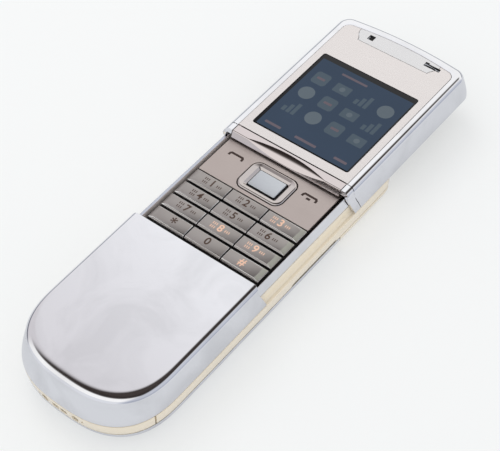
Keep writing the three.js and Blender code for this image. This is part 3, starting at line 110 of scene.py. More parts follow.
class SliderPhoneBody(bpy.types.PropertyGroup):
    closed: length("Closed length", 115.5, "Length of either half's outline")
    width: length("Width", 46.2, "Width at the skirts' foot")
    thickness: length("Thickness", 17.5, "Height of the front above the back")
    travel: length("Slide travel", 38.6, "How far the display half has slid")
    end_depth: length("End depth", 21.2, "Length of the U-shaped bottom end")
    end_fullness: FloatProperty(
        name="End fullness", description="2 is an ellipse, more is squarer", default=2.65, min=2, max=4,
    )
    top_arch: length("Top arch", 1.6, "Rise of the arched top end")
    top_corner: length("Top corner", 5, "Corner radius of the top end")
    cover: length("Cover length", 54.6, "Length of the polished lower cover at its front")
    skirt_foot: length("Skirt foot", 9.2, "Height of the skirts' lower edge")
    side_rake: length("Side rake", 0.8, "How far the sides lean in")
    bottom_rake: length("Bottom rake", 2.4, "How far the bottom end leans in")
    top_rake: length("Top rake", 1.3, "How far the top end leans in")
    edge_height: length("Edge height", 2.0, "Height of the rounding between the skirts and the front")
    edge_side: length("Edge width at the sides", 2.1, "Width of that rounding at the sides")
    edge_bottom: length("Edge width at the bottom", 3.3, "Width of that rounding at the bottom end")
    edge_top: length("Edge width at the top", 1.7, "Width of that rounding at the top end")
    edge_power: FloatProperty(
        name="Edge tightening", description="1 is a plain arc, more starts flatter", default=1.2,
        min=1, max=3,
    )
    wall: length("Shell wall", 0.8, "Thickness of the pressed steel")
    parting_gap: length("Parting gap", 0.4, "Gap between the lower cover and the lip")
    lip: length("Lip length", 2.7, "Length of the thumb lip at its front")
    lip_thickness: length("Lip thickness", 1.85, "Height of the thumb lip")
    lip_slant: length("Lip slant", 0.95, "How far the lip's nose stands out below its edge")
    parting_lean: length("Parting lean", 1.2, "How far the joint runs back at the skirts' foot")


class SliderPhoneBase(bpy.types.PropertyGroup):
    frame_foot: length("Frame foot", 5.3, "Lower edge of the cream frame")
    ledge: length("Ledge", 8.9, "Height of the ledge under the skirts")
    bulge: length("Frame bulge", 0.3, "How far the frame draws in towards its foot")
    frame_wall: length("Frame wall", 1.2, "Wall of the cream frame")
    nest_inset: length("Nest inset", 1.35, "How far the inner wall stands in at the sides")
    nest_bottom: length("Nest end inset", 2.3, "How far it stands in at the bottom end")
    cap_reach: length("End cap reach", 12, "Where the bottom end cap stops")
    notch: length("Notch", 0.5, "Gap between the end cap and the frame")
    slot_start: length("Side slot start", 66.4, "Lower end of the side slot")
    slot_length: length("Side slot length", 20, "Length of the side slot")
    slot_height: length("Side slot height", 0.9, "Height of the side slot")
    port_height: length("Port height", 7.05, "Height of the row of holes in the end cap")
    back_edge: length("Back edge", 5, "Upper edge of the back covers")
    back_side: length("Back side rounding", 5.4, "How far the back rounds in at the sides")
    back_end: length("Back end rounding", 8.5, "How far the back rounds in at the ends")
    back_wall: length("Back wall", 0.9, "Wall of the back covers")
    battery_cover: length("Battery cover length", 88, "Where the battery cover stops")
    seam: length("Seam", 0.3, "Gap between the back covers")
    hole_pitch: length("Sound hole pitch", 1.8, "Spacing of the holes over the loudspeaker")
    hole_radius: length("Sound hole radius", 0.42, "Radius of each of those holes")


class SliderPhoneKeys(bpy.types.PropertyGroup):
    digit: length("Digit height", 3.4, "Letter size of the plain numbers")
    boldness: length("Digit boldness", 0.07, "How far the strokes are thickened")
    print_thickness: length("Print thickness", 0.012, "How far print stands above a key")
    tick_count: IntProperty(name="Ticks", description="Small bars beside each number", default=3, min=1)
    tick_pitch: length("Tick pitch", 0.62, "Spacing of those bars")
    tick_width: length("Tick width", 0.26, "Width of each bar")
    tick_height: length("Tick height", 0.85, "Height of each bar")
    mark_width: length("Mark width", 0.72, "Stroke of the call and end marks")
    rounding: length("Key rounding", 0.17, "Bevel on the keys' edges")


class SliderPhoneColours(bpy.types.PropertyGroup):
    steel: colour("Polished steel", "#F4F4F6", "Mirror-polished stainless steel")
    lacquer: colour("Cream lacquer", "#F6EAD3", "Gloss lacquer on the frame")
    plate: colour("Display plate", "#E9E3E0", "Brushed plate round the screen")
    panel: colour("Earpiece panel", "#E4E3E3", "Brushed panel over the earpiece")
    taupe: colour("Function plate", "#C9BDB7", "Brushed plate above the keys")
    keys: colour("Keys", "#ABA5A1", "Brushed keys")
    # Paler than the keys: partly a blasted matt finish, partly a painted highlight on the key ends that
    # catch the light
    ends: colour("Key ends", "#B4B3A8", "Blasted outer ends of the keys")
    rail: colour("Rail side", "#EFE3DC", "Blasted inner sides of the rails")
    edge: colour("Key edges", "#E4E3E1", "Polished bevels of the keys")
    ring: colour("Ring", "#CDC5C1", "Felt-polished ring")
    lip: colour("Thumb lip", "#DCD2D0", "Felt-polished lip")
    select: colour("Select key", "#D3D7DB", "Satin key inside the ring")
    screen: colour("Screen", "#2B3C50", "Ground of the picture on the screen")
    dark_print: colour("Dark print", "#4A3224", "Print on most keys")
    # Pale print: a painted glint, the print of a few keys drawn as if it caught the light
    bright_print: colour("Bright print", "#F0C4A8", "Print on the keys that stand out")
    marks: colour("Marks", "#3A2820", "Strokes on the function plate")


# Outlines and plain geometry, in metres

def row_y(body, y, opened=False):
    """A distance from the bottom end as a Y in the row's frame."""
    return y - (body.closed + body.travel) / 2 + (body.travel if opened else 0)


def parting_at(body, z):
    """Where the lower cover ends at height z, from the bottom end."""
    nose = body.thickness - body.lip_thickness
    if z > nose:
        return body.cover - body.lip_slant * (body.thickness - z) / body.lip_thickness
    share = (nose - z) / (nose - body.skirt_foot)
    return body.cover - body.lip_slant + (body.parting_lean + body.lip_slant) * share


def bottom_points(body, half, low, depth):
    """The U-shaped bottom end, from its left side round to its right side."""
    power = 2 / body.end_fullness
    points = []
    for i in range(END_STEPS + 1):
        c, s = math.cos(math.pi * i / END_STEPS), math.sin(math.pi * i / END_STEPS)
        points.append((-half * math.copysign(abs(c) ** power, c), low + depth * (1 - abs(s) ** power)))
    return points


def top_points(half, high, arch, corner):
    """The arched top end, from its right side round to its left side."""
    inner = half - corner
    rise = high - arch * (inner / half) ** 2
    points = []
    for i in range(CORNER_STEPS + 1):
        turn = math.pi / 2 * i / CORNER_STEPS
        points.append((inner + corner * math.cos(turn), rise - corner + corner * math.sin(turn)))
    for i in range(1, ARCH_STEPS):
        x = inner * (1 - 2 * i / ARCH_STEPS)
        points.append((x, high - arch * (x / half) ** 2))
    for i in range(CORNER_STEPS + 1):
        turn = math.pi / 2 * (1 + i / CORNER_STEPS)
        points.append((-inner + corner * math.cos(turn), rise - corner + corner * math.sin(turn)))
    return points


def lower_outline(body, side, bottom, stop):
    """The body's outline below stop, as an open row of points."""
    half = body.width / 2 - side
    points = bottom_points(body, half, bottom, body.end_depth - side)
    return [(-half, stop), *points, (half, stop)]


def upper_outline(body, side, top, start):
    """The body's outline above start, as an open row of points."""
    half = body.width / 2 - side
    corner = body.top_corner - min(side, body.top_corner / 2)
    points = top_points(half, body.closed - top, body.top_arch, corner)
    return [(half, start), *points, (-half, start)]


def whole_outline(body, side, bottom, top):
    half = body.width / 2 - side
    corner = body.top_corner - min(side, body.top_corner / 2)
    return [
        *bottom_points(body, half, bottom, body.end_depth - side),
        *top_points(half, body.closed - top, body.top_arch, corner),
    ]


def edge_shares(body, steps):
    """Shares of height and width up a rounding that grows flatter towards the front."""
    fine = 8
    run, drop, rows = 0, 0, [(0, 0)]
    for i in range(steps * fine):
        turn = math.pi / 2 * ((i + 0.5) / steps / fine) ** body.edge_power
        run += math.cos(turn)
        drop += math.sin(turn)
        if (i + 1) % fine == 0:
            rows.append((drop, run))
    return [(1 - z / drop, 1 - x / run) for z, x in reversed(rows)]


def front_levels(body, rake_steps=12, edge_steps=20):
    """Heights up the skirt and over its rounded edge, with the share of its lean and of its edge width."""
    shoulder = body.thickness - body.edge_height
    span = shoulder - body.skirt_foot
    levels = []
    for i in range(rake_steps + 1):
        levels.append((body.skirt_foot + span * i / rake_steps, (i / rake_steps) ** 1.6, 0))
    for height, width in edge_shares(body, edge_steps)[1:]:
        levels.append((shoulder + body.edge_height * height, 1, width))
    return levels


def placed(points, z, shift):
    return [(x, y + shift, z) for x, y in points]


def rounded_outline(x, y, width, depth, radius, steps=10):
    points = []
    for quarter, (sx, sy) in enumerate(((1, -1), (1, 1), (-1, 1), (-1, -1))):
        cx, cy = x + sx * (width / 2 - radius), y + sy * (depth / 2 - radius)
        for i in range(steps + 1):
            turn = math.pi / 2 * (quarter - 1 + i / steps)
            points.append((cx + radius * math.cos(turn), cy + radius * math.sin(turn)))
    return points


# Meshes

def skin(bm, rows, closed=False, fill=False, flip=False):
    """Joins rows of points, each with the same count, and can fill the last row."""
    made = [[bm.verts.new(p) for p in row] for row in rows]
    count = len(made[0])
    for lower, upper in zip(made, made[1:]):
        for i in range(count if closed else count - 1):
            j = (i + 1) % count
            face = [lower[i], lower[j], upper[j], upper[i]]
            bm.faces.new(face[::-1] if flip else face)
    if fill:
        bm.faces.new(made[-1][::-1] if flip else made[-1])
    return made


def solid(bm, rows):
    """A closed body from closed rows, filled at both ends."""
    made = skin(bm, rows, closed=True, fill=True)
    bm.faces.new(made[0][::-1])
    return made


def block(x0, x1, y0, y1, z0, z1):
    """The rows of a plain block."""
    corners = [(x0, y0), (x1, y0), (x1, y1), (x0, y1)]
    return [placed(corners, z, 0) for z in (z0, z1)]


def rod(radius, x, z, y0, y1, sides=48):
    """The rows of a closed rod along Y."""
    turns = [2 * math.pi * i / sides for i in range(sides)]
    ring = [(x + radius * math.cos(turn), z + radius * math.sin(turn)) for turn in turns]
    return [[(px, y, pz) for px, pz in ring] for y in (y1, y0)]


def new_object(name, bm):
    mesh = bpy.data.meshes.new(name)
    bm.to_mesh(mesh)
    bm.free()
    made = bpy.data.objects.new(name, mesh)
    bpy.context.scene.collection.objects.link(made)
    return made


def solid_object(name, *bodies, split=False):
    """An object of closed bodies, each given by its rows; split cuts their ends into triangles."""
    bm = bmesh.new()
    for rows in bodies:
        solid(bm, rows)
    if split:
        bmesh.ops.triangulate(bm, faces=[f for f in bm.faces if len(f.verts) > 4])
    bmesh.ops.recalc_face_normals(bm, faces=bm.faces)
    return new_object(name, bm)


def add_solids(piece, *bodies):
    """Adds closed bodies, each given by its rows, to a piece."""
    bm = bmesh.new()
    bm.from_mesh(piece.data)
    for rows in bodies:
        solid(bm, rows)
    bm.to_mesh(piece.data)
    bm.free()


def settle(piece, smooth=30, material=None):
    """Turns a piece and its modifiers into a plain mesh, smooth up to an angle."""
    bpy.context.view_layer.update()
    graph = bpy.context.evaluated_depsgraph_get()
    mesh = bpy.data.meshes.new_from_object(
        piece.evaluated_get(graph), preserve_all_data_layers=True, depsgraph=graph)
    piece.modifiers.clear()
    if piece.type == "MESH":
        old = piece.data
        piece.data = mesh
        bpy.data.meshes.remove(old)
    else:
        name = piece.name
        bpy.data.objects.remove(piece)
        piece = bpy.data.objects.new(name, mesh)
        bpy.context.scene.collection.objects.link(piece)
    if material:
        mesh.materials.clear()
        mesh.materials.append(material)
    if not mesh.has_custom_normals:
        mesh.polygons.foreach_set("use_smooth", [True] * len(mesh.polygons))
        mesh.set_sharp_from_angle(angle=math.radians(smooth))
    return piece


def thicken(piece, wall):
    made = piece.modifiers.new("wall", "SOLIDIFY")
    made.thickness = wall
    made.offset = -1
    made.use_even_offset = True


def soften(piece, width, segments=2, angle=30, own=False):
    """Rounds a piece's edges and keeps its faces flat; own gives the edges the second material."""
    piece.data.polygons.foreach_set("use_smooth", [True] * len(piece.data.polygons))
    made = piece.modifiers.new("soft edges", "BEVEL")
    made.width = width
    made.segments = segments
    made.limit_method = "ANGLE"
    made.angle_limit = math.radians(angle)
    made.harden_normals = not own
    if own:
        made.material = 1


def cut_by(piece, cutter, smooth=30, material=None):
    """Cuts a piece with a cutter, which then goes."""
    made = piece.modifiers.new("cut", "BOOLEAN")
    made.operation = "DIFFERENCE"
    made.solver = "EXACT"
    made.object = cutter
    piece = settle(piece, smooth, material)
    bpy.data.objects.remove(cutter)
    return piece


def dress_faces(piece, material, wanted):
    """Gives the faces that a test picks out a material of their own."""
    piece.data.materials.append(material)
    for face in piece.data.polygons:
        if wanted(face):
            face.material_index = len(piece.data.materials) - 1


def finished(piece, body, slot, *nodes):
    """Rides a finished piece on its body, in place of its nodes."""
    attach(piece, body)
    if nodes:
        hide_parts(*nodes)
    return piece


def dressed_copy(source, name, material, rounding, angle=25, edge=None):
    """A copy of a solid with its flat faces joined and its edges softened; edge is their own material."""
    bm = bmesh.new()
    bm.from_mesh(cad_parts[source].data)
    bmesh.ops.remove_doubles(bm, verts=bm.verts, dist=2e-6)
    bmesh.ops.dissolve_limit(bm, angle_limit=math.radians(0.5), verts=bm.verts, edges=bm.edges)
    piece = new_object(name, bm)
    if edge:
        piece.data.materials.append(material)
        piece.data.materials.append(edge)
        soften(piece, rounding, angle=angle, own=True)
        return settle(piece, smooth=3)
    if rounding:
        soften(piece, rounding, angle=angle)
    return settle(piece, smooth=angle + 8 if rounding else 3, material=material)


# Materials

def feed(tree, made, inputs):
    """Gives a node's inputs, each as a plain value or as the output that feeds it."""
    for key, value in inputs.items():
        if isinstance(value, bpy.types.NodeSocket):
            tree.links.new(value, made.inputs[key])
        else:
            made.inputs[key].default_value = value


def node(tree, kind, inputs=None, **settings):
    """Adds a node with its settings and its inputs."""
    made = tree.nodes.new(kind)
    for key, value in settings.items():
        setattr(made, key, value)
    feed(tree, made, inputs or {})
    return made


def begin(name):
    """A new material with its tree and its surface shader."""
    material = bpy.data.materials.new(name)
    material.use_nodes = True
    tree = material.node_tree
    return material, tree, tree.nodes["Principled BSDF"]


def kept(make):
    """Makes each finish once, from the shader inputs that its function gives."""
    def made(*key):
        name = "_".join([make.__name__, *map(str, key)])
        material = bpy.data.materials.get(name)
        if not material:
            material, tree, shader = begin(name)
            feed(tree, shader, make(tree, *key))
        return material
    return made


def shade(code):
    """A colour, given as a hex code or as the name of one of the colour settings."""
    if code.startswith("#"):
        return linear(code)
    return getattr(bpy.context.scene.slider_phone_colours, code)


def toned(tint, factor):
    """A colour made darker or paler."""
    return [min(1, c * factor) for c in tint[:3]] + [1]


def mapped(tree, scale=(1, 1, 1)):
    """Object coordinates in metres, scaled, so a pattern keeps its real size."""
    place = node(tree, "ShaderNodeTexCoord")
    return node(tree, "ShaderNodeMapping", {"Scale": scale, "Vector": place.outputs["Object"]}).outputs[0]


def dulled(tree, low, high, scale, detail=2.0, stretch=(1, 1, 1), start=0.0, stop=1.0):
    """Roughness from low to high, as a noise of so many waves a metre goes from start to stop."""
    wear = node(tree, "ShaderNodeTexNoise", {
        "Scale": scale, "Detail": detail, "Vector": mapped(tree, stretch)})
    return node(tree, "ShaderNodeMapRange", {
        "From Min": start, "From Max": stop, "To Min": low, "To Max": high, "Value": wear.outputs["Fac"],
    }).outputs[0]


def grained(tree, scale, detail, strength, depth_mm):
    """Fine relief from a noise of so many waves a metre."""
    grain = node(tree, "ShaderNodeTexNoise", {"Scale": scale, "Detail": detail, "Vector": mapped(tree)})
    return node(tree, "ShaderNodeBump", {
        "Strength": strength, "Distance": depth_mm * MM, "Height": grain.outputs["Fac"],
    }).outputs[0]


@kept
def polished_stainless(tree):
    # Buffed to a mirror: sharp reflections, dulled a little where fingers have touched it.
    steel = shade("steel")
    smear = node(tree, "ShaderNodeTexNoise", {
        "Scale": 55.0, "Detail": 5.0, "Distortion": 1.2, "Vector": mapped(tree)})
    film = node(tree, "ShaderNodeMapRange", {
        "From Min": 0.42, "From Max": 0.68, "Value": smear.outputs["Fac"]})
    mix = node(tree, "ShaderNodeMix", {"Factor": film.outputs[0], 6: steel, 7: toned(steel, 0.9)},
               data_type="RGBA")
    return {
        "Base Color": mix.outputs[2], "Metallic": 1.0,
        "Roughness": dulled(tree, 0.05, 0.12, 90.0, 3.0, start=0.35, stop=0.75)}


def brushed(tree, tint, rough, grain_mm, depth_mm, tone):
    """Metal drawn along X: fine long lines in its colour, its roughness and its relief."""
    waves = 1 / (grain_mm * MM)
    lines = node(tree, "ShaderNodeTexNoise", {
        "Scale": 1.0, "Detail": 4.0, "Roughness": 0.65,
        "Vector": mapped(tree, (1 / (26 * MM), waves, waves))})
    cloud = node(tree, "ShaderNodeTexNoise", {"Scale": 130.0, "Detail": 2.0, "Vector": mapped(tree)})
    both = node(tree, "ShaderNodeMath", {0: cloud.outputs["Fac"], 1: 0.35, 2: lines.outputs["Fac"]},
                operation="MULTIPLY_ADD").outputs[0]
    mix = node(tree, "ShaderNodeMix", {
        "Factor": both, 6: toned(shade(tint), 1 - tone), 7: toned(shade(tint), 1 + tone),
    }, data_type="RGBA", clamp_factor=True)
    roughness = node(tree, "ShaderNodeMapRange", {
        "From Min": 0.4, "From Max": 0.9, "To Min": rough - 0.06, "To Max": rough + 0.08, "Value": both})
    bump = node(tree, "ShaderNodeBump", {
        "Strength": 0.5, "Distance": depth_mm * MM, "Height": lines.outputs["Fac"]})
    return {
        "Base Color": mix.outputs[2], "Metallic": 1.0, "Roughness": roughness.outputs[0],
        "Normal": bump.outputs[0]}


@kept
def brushed_plate_steel(tree):
    # Satin-brushed sheet: a pale warm ground with long hairlines across the phone.
    return brushed(tree, "plate", 0.27, 0.2, 0.006, 0.09)


@kept
def brushed_panel_steel(tree):
    # The same brushing on a cooler, slightly smoother sheet.
    return brushed(tree, "panel", 0.25, 0.2, 0.005, 0.06)


@kept
def brushed_taupe_steel(tree):
    # Tinted brushed sheet: a darker, browner ground that still glows softly.
    return brushed(tree, "taupe", 0.36, 0.18, 0.005, 0.10)


@kept
def brushed_key_steel(tree):
    # Grey brushed sheet: close hairlines on a ground a little darker than the plate above the keys.
    return brushed(tree, "keys", 0.34, 0.16, 0.004, 0.10)


@kept
def blasted_key_end(tree):
    # The same grey metal blasted matt, so it catches the light from every side, in a paler tone that is a
    # painted highlight on the keys' outer ends.
    return {
        "Base Color": shade("ends"), "Metallic": 0.45, "Roughness": 0.5,
        "Normal": grained(tree, 7000.0, 1.0, 0.3, 0.006)}


@kept
def blasted_rail_side(tree):
    # The rails' inner sides, blasted and tinted like the function plate, so they read as a pale taupe line.
    return {
        "Base Color": shade("rail"), "Metallic": 0.2, "Roughness": 0.5,
        "Normal": grained(tree, 6000.0, 1.0, 0.3, 0.006)}


@kept
def satin_steel(tree, tint, rough):
    # Steel polished with a felt wheel: bright, but its reflections run softly into each other.
    return {
        "Base Color": shade(tint), "Metallic": 1.0,
        "Roughness": dulled(tree, rough - 0.04, rough + 0.04, 400.0)}


@kept
def satin_select_aluminium(tree):
    # Bead-blasted and anodised: an even, cool, soft sheen.
    return {
        "Base Color": shade("select"), "Metallic": 1.0, "Roughness": 0.36,
        "Normal": grained(tree, 9000.0, 1.0, 0.25, 0.004)}


@kept
def cream_gloss_lacquer(tree):
    # Sprayed and cured lacquer: a warm body colour under a clear, faintly wavy gloss.
    return {
        "Base Color": shade("lacquer"), "Roughness": 0.45, "Coat Weight": 0.8, "Coat Roughness": 0.06,
        "Coat Normal": grained(tree, 700.0, 1.0, 0.15, 0.01)}


@kept
def moulded_plastic(tree, code, rough):
    # Moulded nylon or polycarbonate: matt, with the fine grain of the spark-eroded mould.
    return {
        "Base Color": shade(code), "Roughness": rough, "Normal": grained(tree, 5000.0, 2.0, 0.3, 0.01)}


@kept
def pressed_steel(tree, code, rough):
    # Rolled or plated metal: dull, streaked along the roll.
    stretch = (1 / (8 * MM), 1 / (0.4 * MM), 1 / (0.4 * MM))
    return {
        "Base Color": shade(code), "Metallic": 1.0,
        "Roughness": dulled(tree, rough - 0.08, rough + 0.1, 1.0, 3.0, stretch)}


@kept
def circuit_board_mask(tree):
    # Solder mask over copper: glossy green with lighter tracks showing through.
    tracks = node(tree, "ShaderNodeTexBrick", {
        "Scale": 420.0, "Mortar Size": 0.03, "Color1": shade("#1B5237"), "Color2": shade("#1E5C3D"),
        "Mortar": shade("#3D7A50"), "Vector": mapped(tree)})
    return {"Base Color": tracks.outputs["Color"], "Roughness": 0.35}


@kept
def screen_picture(tree, code):
    # What shows through the cover glass: a matt image under one hard, glossy surface.
    cells = node(tree, "ShaderNodeTexNoise", {"Scale": 60.0, "Detail": 1.0, "Vector": mapped(tree)})
    mix = node(tree, "ShaderNodeMix", {
        "Factor": cells.outputs["Fac"], 6: toned(shade(code), 0.9), 7: toned(shade(code), 1.1)},
        data_type="RGBA")
    return {
        "Base Color": mix.outputs[2], "Roughness": 0.5, "Specular IOR Level": 0.0, "Coat Weight": 0.55,
        "Coat Roughness": 0.02}


@kept
def engraved_print(tree, tint, metal, rough):
    # Thin print or etched fill, a little glossier than the metal round it.
    return {
        "Base Color": shade(tint), "Metallic": metal,
        "Roughness": dulled(tree, rough - 0.05, rough + 0.1, 3000.0)}


@kept
def lens_glass(tree):
    # Coated glass over a dark barrel: nearly black, with one sharp reflection.
    coating = node(tree, "ShaderNodeLayerWeight", {"Blend": 0.4})
    mix = node(tree, "ShaderNodeMix", {
        "Factor": coating.outputs["Facing"], 6: shade("#0B0B12"), 7: shade("#2A2440")}, data_type="RGBA")
    return {"Base Color": mix.outputs[2], "Roughness": 0.03, "Coat Weight": 1.0}


# Geometry Nodes trees

def begin_tree(name, inputs):
    """A tree with named inputs, the identifiers of their sockets by name, and what the inputs give."""
    tree = bpy.data.node_groups.new(name, "GeometryNodeTree")
    sockets = {}
    for label, kind, value in (*inputs, ("Place", "Vector", (0, 0, 0)), ("Material", "Material", None)):
        socket = tree.interface.new_socket(label, in_out="INPUT", socket_type="NodeSocket" + kind)
        if value is not None:
            socket.default_value = value
        sockets[label] = socket.identifier
    tree.interface.new_socket("Geometry", in_out="OUTPUT", socket_type="NodeSocketGeometry")
    return tree, sockets, node(tree, "NodeGroupInput").outputs


def end_tree(tree, given, points, shape):
    """Sets the shape on every point, makes the copies real and gives them their material."""
    many = node(tree, "GeometryNodeInstanceOnPoints", {"Points": points, "Instance": shape})
    real = node(tree, "GeometryNodeRealizeInstances", {"Geometry": many.outputs[0]})
    faced = node(tree, "GeometryNodeSetMaterial", {
        "Geometry": real.outputs[0], "Material": given["Material"]})
    node(tree, "NodeGroupOutput", {0: faced.outputs[0]})


def grown(name, tree, sockets, values):
    """A plain mesh made by a tree, with its inputs given by name."""
    piece = new_object(name, bmesh.new())
    made = piece.modifiers.new(name, "NODES")
    made.node_group = tree
    for label, value in values.items():
        made[sockets[label]] = value
    return settle(piece)


def sound_hole_tree():
    """A grid of short rods, made solid, to cut sound holes with."""
    tree, sockets, given = begin_tree("sound_holes", (
        ("Columns", "Int", 7), ("Rows", "Int", 3), ("Pitch", "Float", 0.0018), ("Radius", "Float", 0.00042),
        ("Depth", "Float", 0.004)))
    span_x, span_y = (
        node(tree, "ShaderNodeMath", {0: given[way], 1: given["Pitch"]}, operation="MULTIPLY").outputs[0]
        for way in ("Columns", "Rows"))
    grid = node(tree, "GeometryNodeMeshGrid", {
        "Size X": span_x, "Size Y": span_y, "Vertices X": given["Columns"], "Vertices Y": given["Rows"]})
    moved = node(tree, "GeometryNodeTransform", {
        "Geometry": grid.outputs["Mesh"], "Translation": given["Place"]})
    rod = node(tree, "GeometryNodeMeshCylinder", {
        "Vertices": 20, "Radius": given["Radius"], "Depth": given["Depth"]})
    end_tree(tree, given, moved.outputs[0], rod.outputs["Mesh"])
    return tree, sockets


def tick_tree():
    """A short row of flat bars, made solid."""
    tree, sockets, given = begin_tree("tick_row", (
        ("Count", "Int", 3), ("Pitch", "Float", 0.0006), ("Width", "Float", 0.0003),
        ("Height", "Float", 0.0008), ("Thickness", "Float", 0.00001)))
    step = node(tree, "ShaderNodeCombineXYZ", {"X": given["Pitch"]})
    line = node(tree, "GeometryNodeMeshLine", {
        "Count": given["Count"], "Start Location": given["Place"], "Offset": step.outputs[0]})
    size = node(tree, "ShaderNodeCombineXYZ", {
        "X": given["Width"], "Y": given["Height"], "Z": given["Thickness"]})
    bar = node(tree, "GeometryNodeMeshCube", {"Size": size.outputs[0]})
    end_tree(tree, given, line.outputs[0], bar.outputs["Mesh"])
    return tree, sockets


# Pieces

class SLIDER_OT_lower_cover(bpy.types.Operator):
    """Polished lower cover: one pressed skin over the U-shaped end, with a closing wall at the keys"""
    bl_idname = "slider_phone.lower_cover"
    bl_label = "Lower cover"

    def execute(self, context):
        body = context.scene.slider_phone_body
        shift = row_y(body, 0)
        rows = []
        for z, lean, width in front_levels(body):
            side = body.side_rake * lean + body.edge_side * width
            bottom = body.bottom_rake * lean + body.edge_bottom * width
            rows.append(placed(lower_outline(body, side, bottom, parting_at(body, z)), z, shift))
        rim = 0.4 * MM
        side = body.side_rake + body.edge_side + rim
        bottom = body.bottom_rake + body.edge_bottom + rim
        rows.append(placed(lower_outline(body, side, bottom, body.cover), body.thickness, shift))
        bm = bmesh.new()
        skin(bm, rows, fill=True)
        piece = new_object("lower_cover_skin", bm)
        thicken(piece, body.wall)
        piece = settle(piece, 35)
        inside = body.wall + 0.1 * MM
        half = body.width / 2 - body.side_rake - inside
        wall = []
        for z in (WALL_FOOT * MM, WALL_BEND * MM, body.thickness - inside):
            y1 = parting_at(body, z) + shift - 0.01 * MM
            y0 = y1 - body.wall
            wall.append([(-half, y0, z), (half, y0, z), (half, y1, z), (-half, y1, z)])
        add_solids(piece, wall)
        soften(piece, 0.08 * MM, angle=50)
        piece = settle(piece, 35, polished_stainless())
        finished(piece, "base", "polished_steel", "lower_front_cover")
        return {"FINISHED"}


class SLIDER_OT_display_shell(bpy.types.Operator):
    """Polished shell of the display half, with a rounded rim, a recess for the plates and two end caps"""
    bl_idname = "slider_phone.display_shell"
    bl_label = "Display shell and end caps"

    def execute(self, context):
        body = context.scene.slider_phone_body
        shift = row_y(body, 0, True)
        start = body.parting_gap + body.lip + 0.1 * MM
        rows = []
        for z, lean, width in front_levels(body):
            side = body.side_rake * lean + body.edge_side * width
            top = body.top_rake * lean + body.edge_top * width
            rows.append(placed(upper_outline(body, side, top, parting_at(body, z) + start), z, shift))
        half, high, front = RECESS_HALF * MM, RECESS_TOP * MM, body.thickness
        for grow, drop in RECESS_STEPS:
            corner = (RECESS_CORNER + grow * 0.5) * MM
            points = top_points(half + grow * MM, high + grow * MM, RECESS_ARCH * MM, corner)
            line = [(half + grow * MM, body.cover + start), *points, (-half - grow * MM, body.cover + start)]
            rows.append(placed(line, front - drop * MM, shift))
        for z, lean, width in reversed(front_levels(body, 12, 1)[:-1]):
            side, top = body.side_rake * lean + body.wall, body.top_rake * lean + body.wall
            rows.append(placed(upper_outline(body, side, top, parting_at(body, z) + start), z, shift))
        shell = solid_object("display_shell_skin", list(zip(*rows)))
        shell = settle(shell, 24, polished_stainless())

        # The recess wall's plain stretch runs from 0.12 to 0.6 mm below the front.
        middle = front - 0.36 * MM

        def in_recess_wall(face):
            steep = abs(face.normal.z) < 0.3
            level = abs(middle - face.center.z) < 0.1 * MM
            return steep and level and abs(face.center.x) < half + 0.1 * MM

        dress_faces(shell, moulded_plastic("#A88B68", 0.5), in_recess_wall)
        finished(shell, "display_half", "polished_steel", "display_shell")
        for side_name, sign in (("right", 1), ("left", -1)):
            self.end_cap(body, shift, side_name, sign)
        return {"FINISHED"}

    def end_cap(self, body, shift, side_name, sign):
        profile = []
        for z, lean, width in front_levels(body, 8, 14):
            profile.append((body.width / 2 - body.side_rake * lean - body.edge_side * width, z))
        profile.append((CAP_SIDE * MM, body.thickness))
        profile += [(CAP_SIDE * MM, CAP_UNDER * MM), (CAP_STEP * MM, CAP_UNDER * MM)]
        for z, lean, width in reversed(front_levels(body, 8, 1)[:-1]):
            profile.append((body.width / 2 - body.side_rake * lean - body.wall, z))
        gap = body.parting_gap
        front = [(sign * x, parting_at(body, z) + gap + shift, z) for x, z in profile]
        back = [(sign * x, parting_at(body, z) + gap + body.lip - 0.1 * MM + shift, z) for x, z in profile]
        rows = [back, front] if sign > 0 else [front, back]
        piece = solid_object("end_cap_" + side_name, rows, split=True)
        soften(piece, 0.12 * MM, 3, 60)
        piece = settle(piece, 40, polished_stainless())
        finished(piece, "display_half", "polished_steel", "lip_end_cap_" + side_name)


class SLIDER_OT_thumb_lip(bpy.types.Operator):
    """Polished bar with a slanted front and a barrel-shaped scoop for the thumb"""
    bl_idname = "slider_phone.thumb_lip"
    bl_label = "Thumb lip"

    def execute(self, context):
        body = context.scene.slider_phone_body
        shift = row_y(body, 0, True)
        low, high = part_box("thumb_lip")
        foot, top = low.z, body.thickness
        face_foot, face_top = parting_at(body, foot) + body.parting_gap, body.cover + body.parting_gap
        end = high.y - shift
        face = Vector((face_foot - face_top, foot - top)).normalized()
        slope = math.atan2(top - foot - SCOOP_FOOT * MM, face_top - face_foot + SCOOP_BACK * MM)
        chord = Vector((math.cos(slope), math.sin(slope)))
        inward = Vector((chord.y, -chord.x))
        deepest = SCOOP_DEPTH * MM * chord.y
        reach = SCOOP_REACH * MM
        radius = (reach ** 2 + deepest ** 2) / (2 * deepest)
        sections = []
        for i in range(LIP_STATIONS + 1):
            x = low.x + (high.x - low.x) * i / LIP_STATIONS
            depth = max(0.1 * MM, deepest - radius + math.sqrt(radius ** 2 - x ** 2))
            nose = Vector((face_top, top))
            on_top = nose + Vector((depth / chord.y, 0))
            on_face = nose + face * depth / abs(face.x * chord.y - face.y * chord.x)
            line = [Vector((face_foot, foot)), on_face]
            for j in range(1, 12):
                share = j / 12
                bow = SCOOP_BOW * MM * 4 * share * (1 - share) * depth / deepest
                line.append(on_face.lerp(on_top, share) + inward * bow)
            line += [on_top, Vector((end, top)), Vector((end, foot))]
            sections.append([(x, p.x + shift, p.y) for p in line])
        bar = settle(solid_object("thumb_lip_bar", sections), 14, satin_steel("lip", 0.05))
        finished(bar, "display_half", "polished_steel", "thumb_lip")
        return {"FINISHED"}


